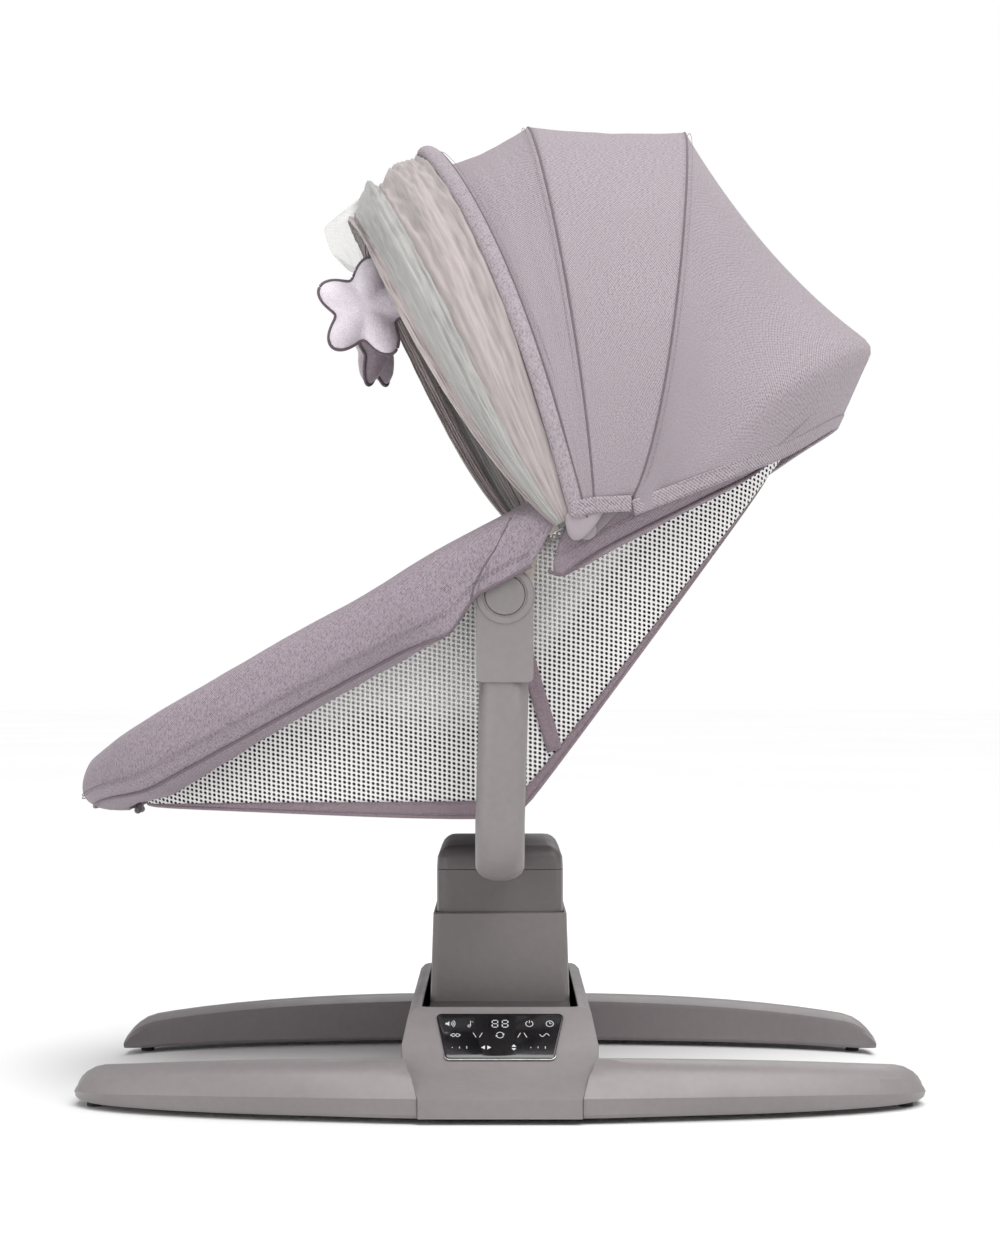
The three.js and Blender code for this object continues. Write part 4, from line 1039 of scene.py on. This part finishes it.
def build_covers():
    front = ring_share_at(0.026)
    rear = ring_share_at(0.038)
    build_cover("padded_cover_front", "rail_cover_front", front, 1 - front, 150, cover_cloth)
    build_cover("padded_cover_rear", "rail_cover_rear", -rear, rear, 110, rear_cloth)
    two_rows = (0.0, 0.0026)
    seams = [cover_line(LOW_FACE, front + 0.004, 1 - front - 0.004, 400, up=up) for up in two_rows]
    stitch_piece("cover_stitches_front", seams, "seat")
    edge = cover_line(SEWN_EDGE - 1, front + 0.001, 1 - front - 0.001, 300, 0.0002)
    tube_piece("cover_piping_front", edge, 0.0013, piping_cloth, "seat", sides=8)
    edge = cover_line(SEWN_EDGE - 1, -rear, rear, 240, 0.0002)
    tube_piece("cover_piping_rear", edge, 0.0014, piping_cloth, "seat", sides=8)
    seams = [cover_line(LOW_FACE, -rear, rear, 300, up=up) for up in two_rows]
    stitch_piece("cover_stitches_rear", seams, "seat", length=0.0026, pitch=0.004)
    top, low = ring_share_at(-0.006), ring_share_at(-0.024)
    bends = (0, 0.15, 0.4, 0.65, 0.9, 1)
    for side, mirror in (("right", 1), ("left", -1)):
        line = []
        for index, bend in enumerate(bends, 6):
            point = cover_surface(top + (low - top) * bend, index, -0.0002)
            line.append(Vector((point.x, mirror * point.y, point.z)))
        tube_piece(f"cover_seam_{side}", resample(line, 0.004), 0.0008, piping_cloth,
                   "seat", sides=6)
        beside = [p + Vector((0.0035, mirror * 0.0002, 0)) for p in line]
        stitch_piece(f"cover_seam_stitches_{side}", [beside], "seat", length=0.0022, pitch=0.0034,
                     radius=0.0003)
    tab = [shifted(-0.327, y, 0.2455 - 0.004 * abs(y) / 0.012) for y in spread(8, -0.012, 0.012)]
    tube_piece("cover_zip_end", tab, 0.0032, piping_cloth, "seat", sides=10)


# ---------------- sling and liner


def sling_floor(x):
    back = SLING_FLOOR + BACK_SLOPE * (x - BACK_FOOT_X)
    front = SLING_FLOOR + 0.007 * smooth_step(-x, 0, 0.28)
    raised = max(back - front, -0.2)
    return front + (raised + math.sqrt(raised * raised + 0.0001)) / 2


LINER_HEIGHTS = [(-0.320, 0.262), (-0.250, 0.294), (-0.170, 0.324), (-0.060, 0.334), (0.010, 0.346),
                 (0.060, 0.376), (0.150, 0.474), (0.232, 0.572)]


def liner_floor(x):
    for (x0, z0), (x1, z1) in zip(LINER_HEIGHTS, LINER_HEIGHTS[1:]):
        if x <= x1:
            return z0 + (z1 - z0) * max(x - x0, 0) / (x1 - x0)
    return LINER_HEIGHTS[-1][1]


def sling_edges(angle, inset, drop, half, foot, head, floor_at):
    x, y = super_oval(angle, RING_MIDDLE, RING_HALF_X - inset, RING_HALF - inset, RING_POWER)
    rim = shifted(x, y, ring_height(x) - drop)
    fx, fy = super_oval(angle, (foot + head) / 2, (head - foot) / 2, half, 3.2)
    return rim, shifted(fx, fy, floor_at(fx))


def sling_side(angle, share, lift=0.0):
    """Point on the sling's side wall: share 0 at the rim and 1 at the floor's edge."""
    rim, low = sling_edges(angle, 0.020 - lift, 0.014, SLING_HALF + lift, SLING_FOOT, SLING_HEAD,
                           sling_floor)
    point = rim.lerp(low, share)
    point.z -= 0.004 * math.sin(share * math.pi)
    return point


def side_angles(count):
    """Angles round the sling, from the head end and back to it."""
    return spread(count, 0, 2 * math.pi)


def build_sling():
    angles = side_angles(260)
    walls = [[sling_side(a, share) for a in angles] for share in spread(18, 0.0, 0.955)]
    wall = sheet_piece("sling_mesh_wall", walls, sling_mesh, 0.0009, "seat")
    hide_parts("sling")
    declare_sheet(wall, walls)

    half = [a for a in angles if a <= math.pi]
    floor_rows = []
    for across in spread(24, 1.0, -1.0):
        row = []
        for a in half:
            edge = sling_side(a, 1.0, 0.0004)
            sag = 0.004 * (1 - across * across)
            point = Vector((edge.x, edge.y * across, edge.z - sag))
            row.append(point + Vector((0, 0, crumple(point, 0.0012, 0.0003))))
        floor_rows.append(row)
    bottom = sheet_piece("sling_floor_panel", floor_rows, floor_cloth, 0.0012, "seat")
    declare_sheet(bottom, floor_rows)

    tape = [[sling_side(a, share, 0.0011) for a in angles] for share in spread(4, 0.93, 1.0)]
    edge_tape = sheet_piece("sling_edge_tape", tape, tape_cloth, 0.0012, "seat")
    declare_sheet(edge_tape, tape)
    piping = [sling_side(a, 1.0, 0.0014) for a in angles]
    tube_piece("sling_edge_piping", piping, 0.0016, tape_cloth, "seat", sides=8)
    rows = [[sling_side(a, share, 0.0018) for a in side_angles(500)] for share in (0.94, 0.985)]
    stitch_piece("sling_tape_stitches", rows, "seat", length=0.0024, pitch=0.0036, radius=0.00032)

    strap_half = 0.0065
    start, end = Vector((0.018, 0, 0.392)), Vector((0.046, 0, 0.300))
    for side, sign in SIDES:
        rows = []
        for t in spread(14, 0, 1):
            row = []
            for w in spread(4, -strap_half, strap_half):
                centre = start.lerp(end, t)
                point = wall_point(centre.x + w * 0.93, centre.z + w * 0.35)
                row.append(Vector((point.x, sign * (abs(point.y) + 0.0018), point.z)))
            rows.append(row)
        strap = sheet_piece(f"sling_strap_{side}", rows, tape_cloth, 0.0016, "seat")
        declare_sheet(strap, rows)

    # Backing sheet 3.2 mm inside the mesh wall, coloured with the liner's colour and with painted shade
    # below it.
    lining = [[sling_side(a, share, -0.0032) for a in angles] for share in spread(18, 0.02, 0.96)]
    inner = sheet_piece("sling_backing_painted_shade", lining, liner_and_shade_cloth, 0.0006, "seat")
    declare_sheet(inner, lining)


def wall_point(x, z):
    """The point of the sling's side wall that is seen at (x, z) from the side."""
    share = 0.5
    for _ in range(6):
        angle = bisect(0.1, math.pi - 0.1, lambda a: sling_side(a, share).x - mid_x > x)
        share = bisect(0.0, 1.0, lambda t: sling_side(angle, t).z > z)
    return sling_side(angle, share)


def build_liner():
    """Padded hammock inside the ring, stuffed by simulation."""
    count = 120

    def layer(inset, half, foot, head, lift):
        rows = []
        for share in (0.0, 0.2, 0.4, 0.6, 0.8, 0.92, 1.0):
            row = []
            for i in range(count):
                rim, low = sling_edges(2 * math.pi * (i + 0.5) / count, inset, 0.012, half, foot, head,
                                       liner_floor)
                low.z += lift
                point = rim.lerp(low, share)
                point.z -= 0.006 * math.sin(share * math.pi)
                row.append(point)
            rows.append(row)
        floor = rows[-1]
        for across in (0.75, 0.5, 0.25, 0.0):
            rows.append([Vector((p.x, p.y * across, p.z - 0.003 * (1 - across))) for p in floor])
        return rows

    outer = layer(0.027, 0.117, -0.295, 0.221, 0.001)
    inner = layer(0.036, 0.108, -0.286, 0.208, 0.010)
    rows = list(reversed(outer)) + inner
    vertices = [p for row in rows for p in row]
    piece = make_piece("liner_pad", vertices, grid_faces(len(rows), count, wrap=True), liner_cloth)
    weld = piece.modifiers.new("weld", "WELD")
    weld.merge_threshold = 1e-4
    bake_modifiers(piece)
    puff(piece, 0.006, 0.005)
    push_along_normals(piece, lambda p: crumple(p, 0.0008, 0.0003))
    subdivide(piece)
    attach(piece, "seat")
    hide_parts("seat_liner")
    rim = [sling_edges(a, 0.031, 0.0085, 0.11, -0.29, 0.21, liner_floor)[0] for a in side_angles(240)]
    tube_piece("liner_rim_binding", rim, 0.0028, tape_cloth, "seat", sides=8)


def build_harness():
    """Three webbing straps to the buckle."""
    half_width = 0.012
    for name in ("crotch_strap", "waist_strap_left", "waist_strap_right"):
        low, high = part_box(name)
        buckle_low, buckle_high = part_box("harness_buckle")
        z = (buckle_low.z + buckle_high.z) / 2
        if name == "crotch_strap":
            start, end = Vector((low.x, 0, low.z + 0.001)), Vector((high.x, 0, z))
            across = Vector((0, 1, 0))
        else:
            sign = -1 if low.y < 0 else 1
            start = Vector((high.x - 0.013, sign * max(abs(low.y), abs(high.y)), high.z - 0.003))
            end = Vector(((buckle_low.x + buckle_high.x) / 2, sign * (buckle_high.y + 0.001), z))
            across = Vector((1, 0, 0))
        rows = []
        for t in spread(40, 0, 1):
            centre = start.lerp(end, t)
            centre.z += 0.25 * (end.z - start.z) * math.sin(math.pi * t)
            rows.append([centre + across * w for w in spread(8, -half_width, half_width)])
        band = sheet_piece(f"{name}_webbing", rows, webbing_cloth, 0.0018, "seat")
        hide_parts(name)
        declare_sheet(band, rows)


# ---------------- canopy


def bow_x(bow, h):
    if bow == "front":
        return 0.064 - 0.27 * h - 0.95 * h ** 3
    if bow == "middle":
        return 0.077 - 0.053 * (max(h, 0) / RISE["middle"]) ** 1.4
    return PIVOT_X + 0.094 * (max(h, 0) / RISE["rear"]) ** 0.35


def bow_point(bow, angle, grow=FABRIC_LIFT):
    """A bow's point over the arch: angle 0 at the left foot, pi at the right foot."""
    y = -(CANOPY_HALF + grow) * signed_power(math.cos(angle), 2 / 2.2)
    lift = abs(math.sin(angle)) ** (2 / 2.2)
    return shifted(bow_x(bow, RISE[bow] * lift), y, pivot.z + (RISE[bow] + grow) * lift)


REAR_START_X = 0.104                     # where the hem meets the foot of the rear bow
FOOT_ANGLE = {"front": 0.019, "middle": 0.026, "rear": 0.049}


def beside_ring(angle, out, up, grow):
    """A point beside the rear of the ring that goes with a bow's angle."""
    start = ring_share_at(REAR_START_X)
    share = -start * (1 - 2 * angle / math.pi)
    centre, outward = ring_at(share)
    point = centre + outward * (out(centre.x) + grow)
    point.z += up(centre.x)
    if point.x < 0.17:
        clear = CANOPY_HALF + grow - 0.030 * smooth_step(point.x, 0.115, 0.170)
        point.y = math.copysign(max(abs(point.y), clear), point.y)
    return shifted(*point)


def hem_drop(x):
    near_foot = 0.008 * (1 - smooth_step(x, 0.10, 0.21))
    return -0.024 - near_foot - 0.022 * smooth_step(x, 0.07, 0.23) - 0.004 * smooth_step(x, 0.19, 0.3)


def shoulder_point(angle, grow=FABRIC_LIFT):
    """Edge where the fabric turns down over the ring; it meets the hem at the feet."""
    def up(x):
        over = 0.002 + 0.019 * smooth_step(x, 0.12, 0.30)
        return hem_drop(x) + (over - hem_drop(x)) * smooth_step(x, REAR_START_X, 0.22)
    return beside_ring(angle, lambda x: COVER_OUT + 0.0036 - 0.014 * thinning(x), up, grow)


def hem_point(angle, grow=FABRIC_LIFT):
    def out(x):
        return COVER_OUT + 0.0036 - 0.047 * smooth_step(x, 0.17, 0.30)
    return beside_ring(angle, out, hem_drop, grow)


def arch_angles(foot, steps=ARCH_STEPS):
    return spread(steps, foot, math.pi - foot)


def canopy_rows(edge_a, edge_b, sag, across, wrinkle=0.0008, deepest=0.5):
    """Rows of a panel between two edges, with its dip deepest at the given share of the way."""
    rows = []
    for share in spread(across, 0, 1):
        row = []
        for step in spread(ARCH_STEPS, 0, 1):
            a, b = edge_a(step), edge_b(step)
            angle = math.pi * step
            point = a.lerp(b, share)
            placed = share ** (math.log(0.5) / math.log(deepest))
            dip = sag * (4 * placed * (1 - placed)) ** 0.9 * math.sin(angle) ** 2
            tight = math.sin(math.pi * share)
            pull = wrinkle * tight * noise.noise(Vector((angle * 3.0, share * 9.0, sag * 40)))
            pull += 0.35 * wrinkle * tight * noise.noise(point * 60)
            inward = (Vector((point.x, 0, pivot.z + 0.12)) - point).normalized()
            row.append(point + inward * (dip + pull))
        rows.append(row)
    return rows


def set_blend(piece, rows, weight, by_column=False):
    """Bakes a sheet's placement into its mesh and works out, for each point, weight(share), the second
    body's part over its rows; the weights are not stored or used.
    """
    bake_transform(piece)
    last_row, last_column = len(rows) - 1, len(rows[0]) - 1
    values = [
        weight(j / last_column if by_column else i / last_row)
        for i in range(last_row + 1) for j in range(last_column + 1)
    ]


def bow_edge(bow, shift=0.0):
    """A bow as an edge of a panel: share 0 at the hem on the left, 1 at the hem on the right."""
    foot = FOOT_ANGLE[bow]
    return lambda step: bow_point(bow, foot + (math.pi - 2 * foot) * step) + Vector((shift, 0, 0))


def canopy_panel(place, rows, weight):
    """One fabric panel of the canopy; the share of the bodies on its two sides is worked out for each
    point but not applied.
    """
    panel = sheet_piece(f"canopy_{place}_panel", rows, canopy_cloth)
    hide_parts(f"canopy_panel_{place}")
    declare_sheet(panel, rows)
    set_blend(panel, rows, weight)


def build_canopy():
    front_edge, middle_edge, rear_edge = bow_edge("front", -0.004), bow_edge("middle"), bow_edge("rear")
    front_rows = canopy_rows(front_edge, middle_edge, 0.019, 30, deepest=0.27)
    canopy_panel("front", front_rows, lambda share: share)
    middle_rows = canopy_rows(middle_edge, rear_edge, 0.003, 20)
    canopy_panel("middle", middle_rows, lambda share: share)

    def over(step):
        return shoulder_point(math.pi * step)

    def under(step):
        return hem_point(math.pi * step)

    slope = canopy_rows(rear_edge, over, 0.021, 24)
    turned = canopy_rows(over, under, -0.004, 10)
    rear_rows = soften_rows(slope + turned[1:], 2)
    canopy_panel("rear", rear_rows, lambda share: min(share / 0.7, 1.0))

    build_bow_seams()
    build_hem(front_rows, middle_rows, rear_rows)
    build_foot_caps()


def soften_rows(rows, rounds):
    """Rounds a fold that runs along the rows, keeping the first and last row."""
    columns = [smooth_line(column, rounds) for column in zip(*rows)]
    return [list(row) for row in zip(*columns)]


def band_seam(angle):
    """How far behind the front bow the band's seam runs."""
    return 0.0088 + 0.002 * math.sin(angle)


def band_ring(angle):
    """Section of the padded band that wraps the front bow."""
    middle = bow_point("front", angle, FABRIC_LIFT - 0.0012)
    outward = Vector((0, middle.y, middle.z - pivot.z)).normalized()
    half = band_seam(angle) / 2 + 0.0026
    thick = 0.0034 + 0.0026 * math.sin(angle)
    return [
        middle + Vector((half * math.cos(turn) + half - 0.0052, 0, 0)) + outward * thick * math.sin(turn)
        for turn in around(16)
    ]


def build_bow_seams():
    """Piping over each bow with rows of stitches beside it; the front edge has a bound band."""
    bodies = {"front": "canopy_front", "middle": "canopy_middle", "rear": "canopy_rear"}
    for bow, body in bodies.items():
        angles = arch_angles(FOOT_ANGLE[bow])
        front = bow == "front"
        if front:
            rings = [band_ring(a) for a in angles]
            loft_piece("canopy_front_band", rings, band_cloth, body)
        line = [bow_point(bow, a, FABRIC_LIFT + 0.0002) for a in angles]
        if front:
            line = [point + Vector((band_seam(a), 0, 0)) for point, a in zip(line, angles)]
        tube_piece(f"canopy_piping_{bow}", line, 0.0010, piping_cloth, body, sides=8)
        offsets = (0.0155,) if front else (-0.0045, 0.0045)
        paths = [[bow_point(bow, a, FABRIC_LIFT) + Vector((dx, 0, -abs(dx) * 0.06)) for a in angles]
                 for dx in offsets]
        stitch_piece(f"canopy_stitches_{bow}", paths, body, length=0.0026, pitch=0.004, radius=0.0003)


def walk_up(rows, column, distance):
    """The point a distance up a column of rows from its last row."""
    walked, point = 0.0, rows[-1][column]
    for i in range(len(rows) - 2, -1, -1):
        step = (rows[i][column] - point).length
        if walked + step >= distance:
            return point.lerp(rows[i][column], (distance - walked) / step)
        walked += step
        point = rows[i][column]
    return point


HEM_BAND = 0.013
LONG_STRIP = 60                          # points above which a strip is evened out


def hem_strip(name, pairs, weight):
    """One stretch of the band along the lower edge, through (low, high) pairs of points."""
    rows = []
    for share in spread(5, 0, 1):
        row = []
        for low, high in pairs:
            point = low.lerp(high, share)
            away = Vector((point.x - mid_x - 0.12, point.y * 2.2, 0)).normalized()
            row.append(point + away * 0.0015)
        rows.append(row)
    if len(pairs) > LONG_STRIP:
        rows = [smooth_line(row, 14) for row in rows]
    hem = sheet_piece(f"canopy_hem_{name}", rows, canopy_cloth, 0.0014)
    declare_sheet(hem, rows)
    set_blend(hem, rows, weight, by_column=True)
    return rows


def build_hem(front_rows, middle_rows, rear_rows):
    """The band along the lower edge: one long stretch round the head end and two by each pivot."""
    for column, side in ((0, "left"), (-1, "right")):
        for rows, name, first, second, fall in (
            (front_rows, "front", "canopy_front", "canopy_middle", 0.0),
            (middle_rows, "middle", "canopy_middle", "canopy_rear", 0.009),
        ):
            pairs = []
            for i, row in enumerate(rows):
                drop = fall * i / (len(rows) - 1)
                low = row[column] - Vector((0, 0, drop))
                pairs.append((low, low + Vector((0, 0, HEM_BAND))))
            hem_strip(f"{name}_{side}", pairs, lambda share: share)
    columns = range(len(rear_rows[-1]))
    pairs = [(rear_rows[-1][column], walk_up(rear_rows, column, HEM_BAND)) for column in columns]
    rows = hem_strip("rear", pairs,
                     lambda share: smooth_step(min(share, 1 - share), 0.0, 0.05))
    tops = []
    for share in (0.12, 0.9):
        top = [p.lerp(q, share) for p, q in zip(rows[0], rows[-1])][6:-6]
        tops.append([p + Vector((0, math.copysign(0.0009, p.y), 0)) for p in top])
    stitch_piece("canopy_hem_stitches", tops, "seat", length=0.0026, pitch=0.004, radius=0.00032)


def build_foot_caps():
    """Small sewn pocket over the ends of the bows at each pivot."""
    half_width, half_height = 0.0135, 0.0140
    layers = ((-0.0045, 0.86), (0.0006, 1.0), (0.0034, 0.97), (0.0052, 0.84), (0.0060, 0.55))
    for side, sign in SIDES:
        rings = []
        for depth, size in layers:
            ring = []
            for turn in around(28):
                v = half_height * signed_power(math.sin(turn), 0.7) * size
                u = (half_width + 0.45 * v) * signed_power(math.cos(turn), 0.7) * size
                ring.append(pivot + Vector((u - 0.004 + 0.25 * v, sign * (CANOPY_HALF + depth),
                                            v + 0.0055 + 0.12 * u)))
            rings.append(ring)
        cap = loft_piece(f"bow_pocket_{side}", rings, canopy_cloth, level=1)
        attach(cap, "seat")


# ---------------- net


def net_width(angle):
    full = math.sin(angle)
    return 0.008 + 0.082 * (1 - math.exp(-3.3 * full)) * (1 - 0.15 * full ** 6)


def net_point(angle, share, height):
    """A point of the net: share 0 at the front bow, 1 at its free edge, height off its surface."""
    start = bow_point("front", angle, 0.0015) + Vector((-0.005, 0, 0))
    outward = Vector((0, start.y, (start.z - pivot.z) * 0.9)).normalized()
    reach = net_width(angle) * share
    droop = 0.010 * math.sin(angle) * share ** 2
    return start + Vector((-0.8 * reach, 0, -0.6 * reach)) + outward * (height - droop)


def build_net():
    """Gathered net along the first bow: a warm layer, a cool roll on it and a turned-in edge."""
    # name, cloth, near and far share, folds, fold depth, bulge, phase
    layers = (
        ("net_bundle", net_warm, 0.0, 0.70, 1.7, 0.0026, 0.006, 0.3),
        ("net_roll", net_cool, 0.56, 0.93, 1.2, 0.0020, 0.013, 1.9),
        ("net_edge", net_warm, 0.86, 1.03, 1.5, 0.0016, -0.002, 4.0),
    )
    foot = 0.022
    for name, cloth, near, far, folds, deep, bulge, phase in layers:
        rows = []
        for t in spread(44, 0, 1):
            row = []
            for angle in spread(190, foot, math.pi - foot):
                full = math.sin(angle)
                drift = noise.noise(Vector((angle * 1.9, phase * 3, t * 1.5)))
                swell = 1 + 0.5 * noise.noise(Vector((angle * 3.1, phase, 7)))
                share = near + (far - near) * t + 0.045 * drift
                fold = math.sin(2 * math.pi * folds * t + phase + 2.4 * drift + angle * 1.6)
                fold += 0.42 * math.sin(2 * math.pi * folds * 3.1 * t + 6 * drift + phase * 2)
                fold += 0.26 * math.sin(2 * math.pi * folds * 5.7 * t + 9 * drift - angle * 1.3)
                fine = 0.0022 * noise.noise(Vector((angle * 17, t * 13, phase))) * (0.3 + 0.7 * full)
                height = deep * fold * swell + bulge * math.sin(math.pi * t)
                row.append(net_point(angle, share, height * (0.25 + 0.75 * full) + fine))
            rows.append(row)
        net = sheet_piece(name, rows, cloth, 0.0004, "canopy_front")
        declare_sheet(net, rows)
        if name == "net_bundle":
            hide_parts("canopy_net")

    outline = [(-0.118, 0.794), (-0.139, 0.776), (-0.158, 0.763),
               (-0.151, 0.741), (-0.134, 0.722), (-0.118, 0.718)]
    flap_y, top_z, low_z = -0.040, 0.792, 0.718
    edge = smooth_line(resample([shifted(x, flap_y, z) for x, z in outline], 0.003), 2)
    rows = []
    for t in spread(20, 0, 1):
        row = []
        for i, point in enumerate(edge):
            along = i / (len(edge) - 1)
            root = shifted(-0.116, flap_y, top_z + (low_z - top_z) * along)
            p = root.lerp(point, t)
            uneven = 0.004 * noise.noise(Vector((along * 7, t * 4, 2)))
            p.y += 0.007 * math.sin(along * 9 + t * 3) * t + uneven
            row.append(p)
        rows.append(row)
    flap = sheet_piece("net_loose_flap", rows, net_loop, 0.0003, "canopy_front")
    declare_sheet(flap, rows)


# ---------------- star toys


def star_radius(turn, tip, notch):
    """Rounded five-pointed outline."""
    wave = 0.5 + 0.5 * math.cos(5 * turn)
    return notch + (tip - notch) * wave ** 0.92


def build_star(kind, cloth, tip, thick, spin, yaw, drop):
    """A stuffed star on two cords; spin turns it in its plane, yaw about the cords."""
    hook = star_hooks[kind]
    centre = hook - Vector((0, 0, drop))
    across = Vector((math.cos(yaw), math.sin(yaw), 0))
    depth = Vector((-math.sin(yaw), math.cos(yaw), 0))

    def place(turn, size, side):
        radius = star_radius(turn, tip, tip * 0.62) * size
        angle = turn + math.pi / 2 + spin
        up = Vector((0, 0, radius * math.sin(angle)))
        return centre + across * radius * math.cos(angle) + up + depth * side

    layers = [(0.18, -0.50), (0.5, -0.44), (0.78, -0.30), (0.95, -0.12), (1.0, 0.0),
              (0.95, 0.12), (0.78, 0.30), (0.5, 0.44), (0.18, 0.50)]
    rings = [[place(turn, size, side * thick) for turn in around(90)] for size, side in layers]
    star = loft_piece(f"star_{kind}_plush", rings, cloth)
    puff(star, 0.0022, 0.005, pressure=3.0, along=depth)
    subdivide(star)
    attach(star, f"star_{kind}")
    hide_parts(f"star_toy_{kind}")
    seam = [place(turn, 0.995, 0) for turn in spread(180, 0, 2 * math.pi)]
    tube_piece(f"star_{kind}_piping", seam, 0.0015, piping_cloth, f"star_{kind}", sides=8)
    top = centre + Vector((0, 0, tip * 0.8))
    for name, side in (("front", -0.0016), ("back", 0.0016)):
        line = [top.lerp(hook, t) + across * side * math.sin(math.pi * t) for t in spread(16, 0, 1)]
        tube_piece(f"star_{kind}_cord_{name}", line, 0.0009, tape_cloth, f"star_{kind}", sides=8)


def build_stars():
    build_star("light", star_cloth, tip=0.046, thick=0.030, spin=-0.10, yaw=0.0, drop=0.082)
    build_star("dark", dark_star_cloth, tip=0.041, thick=0.026, spin=0.1, yaw=1.2,
               drop=0.106)


# ---------------- build everything

build_stage()
finish_frame_nodes()
build_hub_rings()
build_control_panel()
build_slot_curtains()
build_covers()
build_sling()
build_liner()
build_harness()
build_canopy()
build_net()
build_stars()
